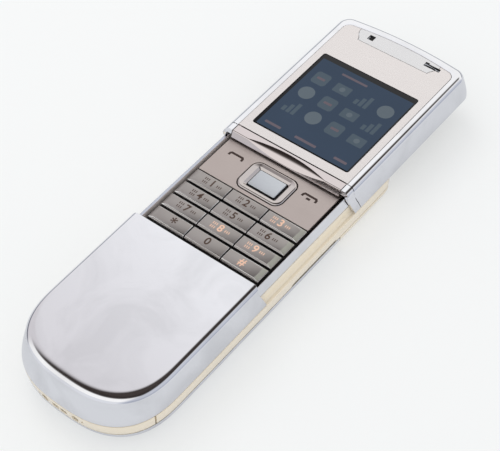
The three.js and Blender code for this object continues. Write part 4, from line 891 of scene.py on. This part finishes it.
class SLIDER_OT_base_frame(bpy.types.Operator):
    """Cream frame with its side slots and inner wall, and the bottom end cap with its holes"""
    bl_idname = "slider_phone.base_frame"
    bl_label = "Frame and end cap"

    def inset(self, base, z):
        """How far the band draws in at height z."""
        return base.bulge * ((base.ledge - z) / (base.ledge - base.frame_foot)) ** 2

    def band(self, base):
        """Heights and insets round the band's section, from its foot up its outside and back down inside."""
        edge = 0.12 * MM
        span = base.ledge - base.frame_foot
        at_foot = self.inset(base, base.frame_foot)
        levels = [(base.frame_foot, at_foot + 0.15 * MM)]
        for i in range(9):
            z = base.frame_foot + edge + (span - 2 * edge) * i / 8
            levels.append((z, self.inset(base, z)))
        levels += [(base.ledge, edge), (base.ledge, base.frame_wall)]
        return levels + [(base.frame_foot, at_foot + base.frame_wall)]

    def part_of(self, outlines, stop, below):
        """The stretch of each outline that lies below stop, or the rest, all with as many points."""
        margin = 0.05 * MM
        under = [i for i in range(END_STEPS) if all(o[i][1] < stop - margin for o in outlines)]
        first, last = under[0], under[-1]
        before = max(i for i in range(first) if all(o[i][1] > stop + margin for o in outlines))
        after = END_STEPS - before
        made = []
        for outline in outlines:
            x = self.crossing(outline, stop)
            if below:
                made.append([(-x, stop), *outline[first:last + 1], (x, stop)])
            else:
                made.append([(x, stop), *outline[after:], *outline[:before + 1], (-x, stop)])
        return made

    def crossing(self, outline, y):
        """The half width of an outline where it passes y on its way up from the bottom end."""
        for (x0, y0), (x1, y1) in zip(outline, outline[1:]):
            if x0 > 0 and y0 <= y < y1:
                return x0 + (x1 - x0) * (y - y0) / (y1 - y0)
        return outline[END_STEPS][0]

    def sections(self, body, base, shift, stop, below):
        levels = self.band(base)
        outlines = self.part_of([whole_outline(body, i, i, i) for z, i in levels], stop, below)
        rows = [placed(outline, z, shift) for outline, (z, inset) in zip(outlines, levels)]
        return solid_object("cream_band", list(zip(*rows)))

    def execute(self, context):
        body, base = context.scene.slider_phone_body, context.scene.slider_phone_base
        shift = row_y(body, 0)
        band = self.sections(body, base, shift, base.cap_reach + base.notch, False)
        middle = base.slot_start + base.slot_length / 2 + shift
        tall = base.slot_height
        ring = rounded_outline(middle, base.frame_foot, base.slot_length, 2 * tall, tall)
        slots = [[[(x * MM, y, z) for y, z in ring] for x in sides] for sides in ((-24, -21), (21, 24))]
        band = cut_by(band, solid_object("slot_cutter", *slots))
        rows = []
        for z, offset in NEST:
            inset = base.nest_inset + offset * MM
            outline = whole_outline(body, inset, base.nest_bottom + offset * MM, inset + base.seam)
            rows.append(placed(outline, z * MM, shift))
        bm = bmesh.new()
        solid(bm, rows)
        bm.from_mesh(band.data)
        bpy.data.objects.remove(band)
        piece = settle(new_object("cream_frame", bm), 32, cream_gloss_lacquer())
        finished(piece, "base", "cream_lacquer", "mid_frame")
        self.end_cap(body, base, shift)
        return {"FINISHED"}

    def end_cap(self, body, base, shift):
        cap = self.sections(body, base, shift, base.cap_reach, True)
        z, y0, y1 = base.port_height, shift - 2 * MM, shift + 3 * MM
        holes = [rod(radius * MM, x * MM, z, y0, y1) for x, radius in PORT_HOLES]
        slot_width, slot_height, slot_corner = 2.3 * MM, 1.5 * MM, 0.3 * MM
        for x in PORT_SLOTS:
            ring = rounded_outline(x * MM, z, slot_width, slot_height, slot_corner)
            holes.append([[(px, y, pz) for px, pz in ring] for y in (y1, y0)])
        cap = cut_by(cap, solid_object("port_cutter", *holes), 35, cream_gloss_lacquer())
        finished(cap, "base", "cream_lacquer", "bottom_end_cap")


class SLIDER_OT_back_covers(bpy.types.Operator):
    """Polished battery cover and cream antenna cover, with sound holes over the loudspeaker"""
    bl_idname = "slider_phone.back_covers"
    bl_label = "Back covers"

    def cover(self, name, rows, wall):
        """A skin over rows of points, with a ring just inside the last row, and a wall of its own."""
        foot = rows[-1][0][1]
        rows.append([(x * 0.96, (y - foot) * 0.985 + foot, z) for x, y, z in rows[-1]])
        bm = bmesh.new()
        skin(bm, rows, fill=True, flip=True)
        piece = new_object(name, bm)
        thicken(piece, wall)
        return piece

    def execute(self, context):
        body, base = context.scene.slider_phone_body, context.scene.slider_phone_base
        shift = row_y(body, 0)
        battery_rows, antenna_rows = [], []
        for i in range(BACK_STEPS + 1):
            turn = math.pi / 2 * i / BACK_STEPS
            share = 1 - math.cos(turn)
            z = base.back_edge * (1 - math.sin(turn))
            side, end = base.bulge + base.back_side * share, base.bulge + base.back_end * share
            battery = lower_outline(body, side, end, base.battery_cover)
            antenna = upper_outline(body, side, end, base.battery_cover + base.seam)
            battery_rows.append(placed(battery, z, shift))
            antenna_rows.append(placed(antenna, z, shift))
        cover = settle(self.cover("battery_cover_skin", battery_rows, base.back_wall), 35)
        y = row_y(body, base.battery_cover)
        # Each hook is a tongue that reaches past the seam, with a root that joins it to the cover.
        for x in (-HOOK_PLACE * MM, HOOK_PLACE * MM):
            add_solids(
                cover,
                block(x - 3.5 * MM, x + 3.5 * MM, y - 2.4 * MM, y + 2.4 * MM, 1.0 * MM, 1.8 * MM),
                block(x - 3.4 * MM, x + 3.4 * MM, y - 2.3 * MM, y - 0.8 * MM, 0.5 * MM, 1.4 * MM))
        soften(cover, 0.08 * MM, 2, 50)
        cover = settle(cover, 35, polished_stainless())
        finished(cover, "back_cover", "polished_steel", "battery_cover")

        cover = self.cover("antenna_cover_skin", antenna_rows, base.back_wall)
        tree, sockets = sound_hole_tree()
        holes = grown("sound_hole_cutter", tree, sockets, {
            "Pitch": base.hole_pitch, "Radius": base.hole_radius, "Material": cream_gloss_lacquer(),
            "Place": (0, row_y(body, SOUND_HOLES * MM), 0.5 * MM)})
        cover = cut_by(cover, holes)
        soften(cover, 0.06 * MM, 2, 50)
        cover = settle(cover, 35, cream_gloss_lacquer())
        finished(cover, "base", "cream_lacquer", "antenna_cover")
        return {"FINISHED"}


class SLIDER_OT_side_rails(bpy.types.Operator):
    """Polished bevelled rails beside the keys"""
    bl_idname = "slider_phone.side_rails"
    bl_label = "Side rails"

    def execute(self, context):
        body = context.scene.slider_phone_body
        shift = row_y(body, 0)
        for side_name, sign in (("right", 1), ("left", -1)):
            low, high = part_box("side_rail_" + side_name)
            inside, outside = min(abs(low.x), abs(high.x)), max(abs(low.x), abs(high.x))
            foot, head = low.z, high.z
            # A wide flat bevel on the outer side, and a small steep one on the inner side
            profile = [
                (inside, foot), (outside, foot), (outside - 0.65 * MM, head - 0.45 * MM),
                (inside + 0.55 * MM, head), (inside, head - 0.6 * MM),
            ]
            start = [(sign * x, parting_at(body, z) + 0.3 * MM + shift, z) for x, z in profile]
            end = [(sign * x, high.y, z) for x, z in profile]
            piece = solid_object("side_rail_bar_" + side_name, [start, end])
            soften(piece, 0.1 * MM, 3, 20)
            piece = settle(piece, 30, polished_stainless())
            dress_faces(piece, blasted_rail_side(), lambda face: sign * face.normal.x < -0.9)
            finished(piece, "base", "polished_steel", "side_rail_" + side_name)
        return {"FINISHED"}


class SLIDER_OT_keys(bpy.types.Operator):
    """Twelve brushed keys with bevelled ends, plain numbers and small ticks"""
    bl_idname = "slider_phone.keys"
    bl_label = "Keys"

    labels = {**{digit: digit for digit in "123456789"}, "star": "*", "0": "0", "hash": "#"}
    # Keys whose print gets the pale colour, a painted glint where the print catches the light
    bright = ("3", "8", "9", "hash")
    # In millimetres: where the outer columns begin and how far their numbers move in, how far each number
    # stands above its key's middle, how far its ticks stand from it, and how far a pair of rows spreads
    outer_column, move_in, rise, beside, spread = 10, 0.9, 0.2, 1.7, 0.65
    # The star's size and its drop, as shares of a number's height
    star_size, star_drop = 1.35, 0.1925

    def outer_end(self, face):
        """Whether a face is the sloping right end of a key in the right column."""
        return 0.12 < face.normal.x < 0.5 and face.normal.z > 0.8 and face.center.x > 17 * MM

    def number(self, context, name, text, x, y, z, ink):
        """A key's number as a thin solid."""
        keys = context.scene.slider_phone_keys
        curve = bpy.data.curves.new("number_" + name, "FONT")
        curve.body = text
        curve.size = keys.digit * (self.star_size if text == "*" else 1)
        curve.align_x, curve.align_y = "CENTER", "CENTER"
        curve.extrude = keys.print_thickness / 2
        curve.offset = keys.boldness
        label = bpy.data.objects.new("number_" + name, curve)
        context.scene.collection.objects.link(label)
        label = settle(label, 30, ink)
        drop = self.star_drop * keys.digit if text == "*" else 0
        for vertex in label.data.vertices:
            vertex.co += Vector((x, y - drop, z))
        return label

    def execute(self, context):
        keys = context.scene.slider_phone_keys
        tree, sockets = tick_tree()
        for name, text in self.labels.items():
            key = "key_" + name
            low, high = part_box(key)
            piece = dressed_copy(key, "cap_of_" + key, brushed_key_steel(), keys.rounding, 30,
                                 satin_steel("edge", 0.2))
            # The sloping right ends of the right column get a paler matt copy of the key metal, a painted
            # highlight
            dress_faces(piece, blasted_key_end(), self.outer_end)
            finished(piece, key, "key_metal", key)
            x = (low.x + high.x) / 2
            if abs(x) > self.outer_column * MM:
                x -= math.copysign(self.move_in * MM, x)
            y, z = (low.y + high.y) / 2 + self.rise * MM, high.z + keys.print_thickness / 2
            # The pale print on those keys is a painted glint; the other keys get the dark print
            ink = engraved_print("bright_print", 0.0, 0.3) if name in self.bright else (
                engraved_print("dark_print", 0.0, 0.4))
            finished(self.number(context, name, text, x, y, z, ink), key, "key_metal")
            if text in "*#0":
                continue
            # Two rows of three on the left and one row on the right
            rows = ((-1, 3, self.spread), (-1, 3, -self.spread), (1, keys.tick_count, 0))
            for row, (side, count, rise) in enumerate(rows):
                start = x + side * self.beside * MM - (0 if side > 0 else (count - 1) * keys.tick_pitch)
                ticks = grown("ticks_%s_%d" % (name, row), tree, sockets, {
                    "Count": count, "Pitch": keys.tick_pitch, "Width": keys.tick_width,
                    "Height": keys.tick_height, "Thickness": keys.print_thickness,
                    "Place": (start, y + rise * MM, z), "Material": ink})
                finished(ticks, key, "key_metal")
        return {"FINISHED"}


def ribbon(name, points, width, z, material):
    """A flat stroke along a row of points, with mitred corners."""
    left, right = [], []
    for i, (x, y) in enumerate(points):
        before = Vector(points[max(i - 1, 0)])
        after = Vector(points[min(i + 1, len(points) - 1)])
        here = Vector((x, y))
        first = (here - before).normalized() if i else (after - here).normalized()
        second = (after - here).normalized() if i < len(points) - 1 else first
        along = (first + second).normalized()
        across = Vector((-along.y, along.x)) * width / 2 / max(0.5, along.dot(first))
        left.append(here + across)
        right.append(here - across)
    ring = [*left, *reversed(right)]
    foot = z + 0.002 * MM
    piece = solid_object(name, [[(p.x, p.y, foot + h) for p in ring] for h in (0, 0.01 * MM)])
    return settle(piece, 30, material)


class SLIDER_OT_function_plate(bpy.types.Operator):
    """Brushed function plate with its call and end strokes, and the pale line below the keys"""
    bl_idname = "slider_phone.function_plate"
    bl_label = "Function plate"

    # In millimetres: how far the strokes lie from the bottom end, where the call and end strokes lie across
    # the phone, the stroke itself, and the dash under the end stroke
    strokes_at = 88.2
    marks = (("call", -13.6), ("end", 12.6))
    stroke = ((-2.3, -0.7), (-2.25, 0.05), (-1.9, 0.45), (1.9, 0.45), (2.25, 0.05), (2.3, -0.8))
    dash = ((11.9, -0.75), (13.2, -0.75))

    def execute(self, context):
        body, keys = context.scene.slider_phone_body, context.scene.slider_phone_keys
        low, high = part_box("function_plate")
        hole_low, hole_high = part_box("nav_ring")
        edge, gap = 0.08 * MM, 0.25 * MM
        middle, width, depth = (low.y + high.y) / 2, high.x - low.x, high.y - low.y
        rows = []
        for drop, inset in ((0.5 * MM, 0), (edge, 0), (0, edge)):
            outline = rounded_outline(0, middle, width - 2 * inset, depth - 2 * inset, 0.2 * MM)
            rows.append(placed(outline, high.z - drop, 0))
        ring = rounded_outline(0, (hole_low.y + hole_high.y) / 2, hole_high.x - hole_low.x + 2 * gap,
                               hole_high.y - hole_low.y + 2 * gap, RING_CORNER * MM + gap, 16)
        hole = solid_object("ring_hole_cutter", [placed(ring, z, 0) for z in (low.z - MM, high.z + MM)])
        sheet = cut_by(solid_object("function_sheet", rows), hole)
        soften(sheet, 0.04 * MM, angle=25)
        piece = settle(sheet, 30, brushed_taupe_steel())
        finished(piece, "function_keys", "taupe_plate", "function_plate")
        ink = engraved_print("marks", 0.2, 0.4)
        y = row_y(body, self.strokes_at * MM)
        for name, x in self.marks:
            points = [(x * MM + px * MM, y + py * MM) for px, py in self.stroke]
            mark = ribbon("mark_" + name, points, keys.mark_width, high.z, ink)
            finished(mark, "function_keys", "taupe_plate")
        points = [(px * MM, y + py * MM) for px, py in self.dash]
        dash = ribbon("mark_end_dash", points, keys.mark_width, high.z, ink)
        finished(dash, "function_keys", "taupe_plate")
        low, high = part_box("keypad_frame")
        points = [(low.x + 0.1 * MM, low.y + 0.4 * MM), (high.x - 0.1 * MM, low.y + 0.4 * MM)]
        line = ribbon("key_field_line", points, 0.5 * MM, high.z, blasted_rail_side())
        finished(line, "base", "black_plastic")
        return {"FINISHED"}


class SLIDER_OT_four_way_ring(bpy.types.Operator):
    """Polished ring with a rounded crest, and the satin key inside it"""
    bl_idname = "slider_phone.four_way_ring"
    bl_label = "Ring and select key"

    # The ring's inner side, in millimetres below its crest, with the share of the slope's width
    slope = ((0.17, 1.0), (0.21, 0.94), (0.66, 0.1), (0.72, 0))
    # The opening's width, depth and corner radius in millimetres, and what the slope adds to each
    opening = ((10.0, 1.5), (6.6, 1.3), (0.35, 0.35))
    # Drop and width of the outer rounding, and the turn where it stops
    outer_drop, outer_width, outer_turn = 0.5 * MM, 0.6 * MM, math.radians(80)

    def execute(self, context):
        low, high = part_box("nav_ring")
        y = (low.y + high.y) / 2
        width, depth = high.x - low.x, high.y - low.y
        crest = high.z
        outer = [(low.z, 0), (crest - self.outer_drop, 0)]
        for i in range(1, 11):
            turn = self.outer_turn * i / 10
            z = crest - self.outer_drop * (1 - math.sin(turn))
            outer.append((z, self.outer_width * (1 - math.cos(turn))))
        rows = []
        for z, inset in outer:
            corner = RING_CORNER * MM - inset / 2
            outline = rounded_outline(0, y, width - 2 * inset, depth - 2 * inset, corner, 12)
            rows.append(placed(outline, z, 0))
        for z, share in (*((crest - drop * MM, share) for drop, share in self.slope), (low.z, 0)):
            across, along, corner = ((size + more * share) * MM for size, more in self.opening)
            outline = rounded_outline(0, y, across, along, corner, 12)
            rows.append(placed(outline, z, 0))
        rows.append(rows[0])
        bm = bmesh.new()
        skin(bm, rows, closed=True)
        bmesh.ops.remove_doubles(bm, verts=bm.verts, dist=1e-7)
        ring = settle(new_object("four_way_ring", bm), 14, satin_steel("ring", 0.13))
        finished(ring, "ring", "polished_steel", "nav_ring")
        select = dressed_copy("select_key", "select_cap", satin_select_aluminium(), 0.06 * MM, 8)
        finished(select, "select", "select_metal", "select_key")
        return {"FINISHED"}


class SLIDER_OT_face_plates(bpy.types.Operator):
    """Brushed plate round the screen and the smaller panel over the earpiece"""
    bl_idname = "slider_phone.face_plates"
    bl_label = "Face plates"

    def execute(self, context):
        plate = dressed_copy("display_face_plate", "screen_plate", brushed_plate_steel(), 0)
        finished(plate, "display_half", "brushed_plate", "display_face_plate")
        panel = dressed_copy("earpiece_panel", "earpiece_sheet", brushed_panel_steel(), 0)
        finished(panel, "display_half", "brushed_plate", "earpiece_panel")
        return {"FINISHED"}


class SLIDER_OT_screen(bpy.types.Operator):
    """Cover glass with a black border, wider at top and left as painted shade, and a plain grid of simple
    shapes as the picture
    """
    bl_idname = "slider_phone.screen"
    bl_label = "Screen"

    # How far each layer of the picture stands above the one below it
    layer = 0.006 * MM

    def patch(self, name, x, y, width, depth, radius, z, material):
        """A thin rounded patch of the picture, with its top at z."""
        ring = rounded_outline(x, y, width, depth, radius)
        piece = solid_object(name, [placed(ring, z + h, 0) for h in (-0.004 * MM, 0)])
        finished(settle(piece, 30, material), "display_half", "screen_glass")

    def execute(self, context):
        low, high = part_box("display_glass")
        glass = dressed_copy("display_glass", "cover_glass", screen_picture("#0A0B0E"), 0.05 * MM)
        finished(glass, "display_half", "screen_glass", "display_glass")
        # The black glass shows round the picture, wider at the top and left: partly the black mask, partly
        # painted shade of the window's inner walls
        x0, x1, y0, y1 = low.x + 1.0 * MM, high.x - 0.5 * MM, low.y + 0.5 * MM, high.y - 1.8 * MM
        width, depth = x1 - x0, y1 - y0
        cx, cy = (x0 + x1) / 2, (y0 + y1) / 2
        z = high.z + self.layer
        self.patch("picture_ground", cx, cy, width, depth, 0.2 * MM, z, screen_picture("screen"))
        z += self.layer
        over = z + self.layer
        tile, glyph, warm = screen_picture("#46545F"), screen_picture("#59646C"), screen_picture("#625860")
        # Four columns and three rows with a margin, and room for the bars above and below
        pitch_x, pitch_y = width / 4.2, depth / 4.6
        size = 5.0 * MM
        for row in range(3):
            for column in range(4):
                x = cx + (column - 1.5) * pitch_x
                y = cy + 1.6 * MM + (1 - row) * pitch_y
                kind = (row * 5 + column * 3) % 4
                name = "tile_%d_%d" % (row, column)
                if kind == 0:
                    self.patch(name, x, y, size, size, 1.1 * MM, z, tile)
                    self.patch(name + "_bar", x, y, size * 0.55, size * 0.18, 0.2 * MM, over, warm)
                elif kind == 1:
                    self.patch(name, x, y, size, size, size * 0.49, z, glyph)
                elif kind == 2:
                    for i, share in enumerate((-1, 0, 1)):
                        tall = size * (0.4 + 0.28 * i)
                        self.patch("%s_%d" % (name, i), x + share * size * 0.33, y - size / 2 + tall / 2,
                                   size * 0.24, tall, 0.2 * MM, z, tile)
                else:
                    self.patch(name, x, y, size * 1.05, size * 0.72, 0.4 * MM, z, tile)
                    self.patch(name + "_dot", x, y, size * 0.36, size * 0.36, size * 0.17, over, glyph)
        for i, (share, wide) in enumerate(((-0.36, 5.6), (0, 7.4), (0.38, 4.4))):
            x, y = cx + share * width, y0 + 2.0 * MM
            self.patch("soft_bar_%d" % i, x, y, wide * MM, 0.9 * MM, 0.25 * MM, z, warm)
        self.patch("title_bar", cx - 0.1 * width, y1 - 2.2 * MM, 9 * MM, 0.8 * MM, 0.25 * MM, z, warm)
        return {"FINISHED"}


class SLIDER_OT_inner_parts(bpy.types.Operator):
    """Finishes on the solids that are kept as they are: boards, battery, rods, camera and connectors"""
    bl_idname = "slider_phone.inner_parts"
    bl_label = "Inner parts"

    def execute(self, context):
        finishes = {
            moulded_plastic("#171516", 0.55): (
                "keypad_frame", "nav_actuator", "system_connector", "loudspeaker", "display_module",
                "receiver", "light_sensor", "camera_housing", "camera_module"),
            moulded_plastic("#D8D7D1", 0.5): ("slide_shoe_right", "slide_shoe_left"),
            moulded_plastic("#2B2A2B", 0.8): ("keymat",),
            moulded_plastic("#4A4E57", 0.45): ("battery",),
            pressed_steel("#B9BBBE", 0.3): (
                "guide_rod_right", "guide_rod_left", "dome_sheet", "inner_slide_plate", "charging_jack",
                "cover_screw_right", "cover_screw_left", "sim_holder", "vibration_motor"),
            pressed_steel("#8E9093", 0.42): ("shield_can", "microphone", "motor_weight"),
            pressed_steel("#CDA650", 0.28): ("battery_contacts", "antenna"),
            circuit_board_mask(): ("main_board",),
            polished_stainless(): ("camera_ring",),
            lens_glass(): ("camera_lens",),
        }
        for material, names in finishes.items():
            for name in names:
                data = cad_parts[name].data
                data.materials.clear()
                data.materials.append(material)
        return {"FINISHED"}


# Studio

class SliderPhoneStudio(bpy.types.PropertyGroup):
    camera_place: FloatVectorProperty(
        name="Camera place", description="Where the camera stands", subtype="XYZ", unit="LENGTH",
        default=(0.179479, -0.189262, 0.317183))
    camera_turn: FloatVectorProperty(
        name="Camera turn", description="How the camera is turned", subtype="EULER",
        default=tuple(math.radians(a) for a in (39.72956, 3.65668, 39.15186)))
    camera_lens: FloatProperty(
        name="Focal length", description="In millimetres on a 36 mm wide film", default=104.712, min=20)
    floor: colour("Floor", "#F7F8F7", "Pale table")
    # A darker, bluer tone for the table as the metal mirrors it: a painted shadow of the phone on the table
    mirrored_floor: colour("Mirrored floor", "#C2C5CC", "The tone of the table in the metal")
    floor_glow: FloatProperty(
        name="Floor glow", description="How much of the floor's look is even", default=0.55, min=0, max=1)
    key_power: FloatProperty(name="Key lamp", description="Power of the large lamp", default=1.2, min=0)
    sky: FloatProperty(
        name="Studio level", description="Strength of the soft light from all round", default=0.91, min=0)


class SLIDER_OT_studio(bpy.types.Operator):
    """Pale floor, soft lamp, the studio's walls and the camera"""
    bl_idname = "slider_phone.studio"
    bl_label = "Studio"

    # What the metal mirrors: tones by height in the room, from left to right, along the soft screen and
    # up its foot
    room_tones = (
        (0.0, "#E2E4EA"), (0.04, "#FFFFFF"), (0.20, "#FFFFFF"), (0.56, "#FFFFFF"), (0.68, "#5A5654"),
        (0.78, "#312C2B"), (1.0, "#443D3B"))
    cool_tones = (0.0, "#FFFFFF"), (0.40, "#FFFFFF"), (0.66, "#C9CDD8"), (1.0, "#C9CDD8")
    screen_tones = (0.26, "#D9D6DA"), (0.36, "#E6E5E9"), (0.46, "#FBFCFF"), (0.66, "#FFFFFF")
    low_tones = (0.0, "#7E828C"), (0.20, "#9EA1A9"), (0.32, "#FFFFFF"), (1.0, "#FFFFFF")

    def execute(self, context):
        studio = context.scene.slider_phone_studio
        self.floor(studio)
        self.walls(context, studio)
        self.lamp(context, (-0.45, 0.25, 0.75), 0.5, studio.key_power)
        camera = bpy.data.objects.new("camera", bpy.data.cameras.new("camera"))
        camera.location = studio.camera_place
        camera.rotation_euler = Euler(studio.camera_turn)
        camera.data.lens = studio.camera_lens
        camera.data.sensor_width = 36
        camera.data.clip_start = 0.01
        context.scene.collection.objects.link(camera)
        context.scene.camera = camera
        context.scene.view_settings.view_transform = "Standard"
        return {"FINISHED"}

    def floor(self, studio):
        """A wide table: matt, with an even glow for the camera and for what the metal mirrors; in the metal
        its tone is darker, a painted shadow of the phone.
        """
        bm = bmesh.new()
        size = 3.0
        skin(bm, [[(-size, -size, 0), (size, -size, 0)], [(-size, size, 0), (size, size, 0)]])
        made = new_object("floor", bm)
        material, tree, shader = begin("pale_table_paper")
        feed(tree, shader, {"Base Color": studio.floor, "Roughness": 0.9, "Specular IOR Level": 0.1})
        ray = node(tree, "ShaderNodeLightPath").outputs
        # Glossy rays see the darker mirrored tone, a painted shadow of the phone on the table
        tone = node(tree, "ShaderNodeMix", {
            "Factor": ray["Is Glossy Ray"], 6: studio.floor, 7: studio.mirrored_floor}, data_type="RGBA")
        glow = node(tree, "ShaderNodeEmission", {"Strength": 1.0, "Color": tone.outputs[2]})
        seen = node(tree, "ShaderNodeMath", {0: ray["Is Camera Ray"], 1: ray["Is Glossy Ray"]},
                    operation="MAXIMUM")
        share = node(tree, "ShaderNodeMath", {0: seen.outputs[0], 1: studio.floor_glow},
                     operation="MULTIPLY")
        both = node(tree, "ShaderNodeMixShader", {
            0: share.outputs[0], 1: shader.outputs[0], 2: glow.outputs[0]})
        feed(tree, tree.nodes["Material Output"], {"Surface": both.outputs[0]})
        made.data.materials.append(material)

    def lamp(self, context, place, size, power):
        """A round soft lamp that looks at the phone and doesn't show in the metal."""
        data = bpy.data.lights.new("key_lamp", "AREA")
        data.shape, data.size, data.energy = "DISK", size, power
        made = bpy.data.objects.new("key_lamp", data)
        made.location = place
        made.rotation_euler = (-Vector(place)).to_track_quat("-Z", "Y").to_euler()
        made.visible_glossy = False
        context.scene.collection.objects.link(made)

    def walls(self, context, studio):
        """Even soft light for the dull surfaces, and walls by direction for what the metal mirrors."""
        world = bpy.data.worlds.new("studio")
        context.scene.world = world
        world.use_nodes = True
        tree = world.node_tree
        place = node(tree, "ShaderNodeTexCoord").outputs["Generated"]
        axes = node(tree, "ShaderNodeSeparateXYZ", {0: place}).outputs
        # The room's tones lie higher up towards the front and, less so, towards the right.
        before = node(tree, "ShaderNodeMath", {0: axes["Y"], 1: -1.0}, operation="MULTIPLY")
        right = node(tree, "ShaderNodeMath", {0: axes["X"], 1: 0.35}, operation="MULTIPLY")
        nearer = node(tree, "ShaderNodeMath", {0: right.outputs[0], 1: before.outputs[0]},
                      operation="MAXIMUM")
        lean = node(tree, "ShaderNodeMath", {0: nearer.outputs[0], 1: 0.0}, operation="MAXIMUM")
        height = node(tree, "ShaderNodeMath", {0: lean.outputs[0], 1: -0.7, 2: axes["Z"]},
                      operation="MULTIPLY_ADD")
        room = node(tree, "ShaderNodeMix", {
            "Factor": 1.0, 6: self.ramp(tree, height.outputs[0], self.room_tones),
            7: self.ramp(tree, axes["X"], self.cool_tones)}, data_type="RGBA", blend_type="MULTIPLY")
        wall = node(tree, "ShaderNodeMix", {
            "Factor": 1.0, 6: self.ramp(tree, axes["Y"], self.screen_tones),
            7: self.ramp(tree, axes["Z"], self.low_tones)}, data_type="RGBA", blend_type="MULTIPLY")
        # The soft screen stands to the left and behind.
        away = node(tree, "ShaderNodeVectorMath", {0: place, 1: (-1, 1, 0)}, operation="DOT_PRODUCT")
        soft = node(tree, "ShaderNodeMapRange", {
            "From Min": 0.45, "From Max": 0.78, "Value": away.outputs["Value"],
        }, interpolation_type="SMOOTHSTEP")
        mix = node(tree, "ShaderNodeMix", {
            "Factor": soft.outputs[0], 6: room.outputs[2], 7: wall.outputs[2]}, data_type="RGBA")
        mirrored = tree.nodes["Background"]
        feed(tree, mirrored, {"Color": mix.outputs[2]})
        even = node(tree, "ShaderNodeBackground", {"Color": linear("#FBFCFF"), "Strength": studio.sky})
        ray = node(tree, "ShaderNodeLightPath").outputs
        both = node(tree, "ShaderNodeMixShader", {
            0: ray["Is Glossy Ray"], 1: even.outputs[0], 2: mirrored.outputs[0]})
        feed(tree, tree.nodes["World Output"], {"Surface": both.outputs[0]})

    def ramp(self, tree, source, stops):
        """Tones along a value, each with its place."""
        made = node(tree, "ShaderNodeValToRGB", {0: source})
        elements = made.color_ramp.elements
        while len(elements) < len(stops):
            elements.new(0.5)
        for element, (at, code) in zip(elements, stops):
            element.position, element.color = at, linear(code)
        return made.outputs[0]


class SLIDER_PT_panel(bpy.types.Panel):
    """The phone's pieces, one button each"""
    bl_idname = "SLIDER_PT_panel"
    bl_label = "Slider phone"
    bl_space_type = "VIEW_3D"
    bl_region_type = "UI"
    bl_category = "Slider phone"

    def draw(self, context):
        for operator in OPERATORS:
            self.layout.operator(operator.bl_idname)
        for name in SETTINGS:
            group = getattr(context.scene, name)
            box = self.layout.box()
            for key in group.__annotations__:
                box.prop(group, key)


OPERATORS = (
    SLIDER_OT_studio, SLIDER_OT_lower_cover, SLIDER_OT_display_shell, SLIDER_OT_thumb_lip,
    SLIDER_OT_base_frame, SLIDER_OT_back_covers, SLIDER_OT_side_rails, SLIDER_OT_keys,
    SLIDER_OT_function_plate, SLIDER_OT_four_way_ring, SLIDER_OT_face_plates, SLIDER_OT_screen,
    SLIDER_OT_inner_parts,
)
SETTINGS = {
    "slider_phone_body": SliderPhoneBody, "slider_phone_base": SliderPhoneBase,
    "slider_phone_keys": SliderPhoneKeys, "slider_phone_colours": SliderPhoneColours,
    "slider_phone_studio": SliderPhoneStudio,
}


def register():
    for item in (*SETTINGS.values(), *OPERATORS, SLIDER_PT_panel):
        bpy.utils.register_class(item)
    for name, group in SETTINGS.items():
        setattr(bpy.types.Scene, name, PointerProperty(type=group))


def unregister():
    for name in SETTINGS:
        delattr(bpy.types.Scene, name)
    for item in reversed((*SETTINGS.values(), *OPERATORS, SLIDER_PT_panel)):
        bpy.utils.unregister_class(item)


def main():
    register()
    for operator in OPERATORS:
        group, name = operator.bl_idname.split(".")
        getattr(getattr(bpy.ops, group), name)()


if __name__ == "__main__":
    main()
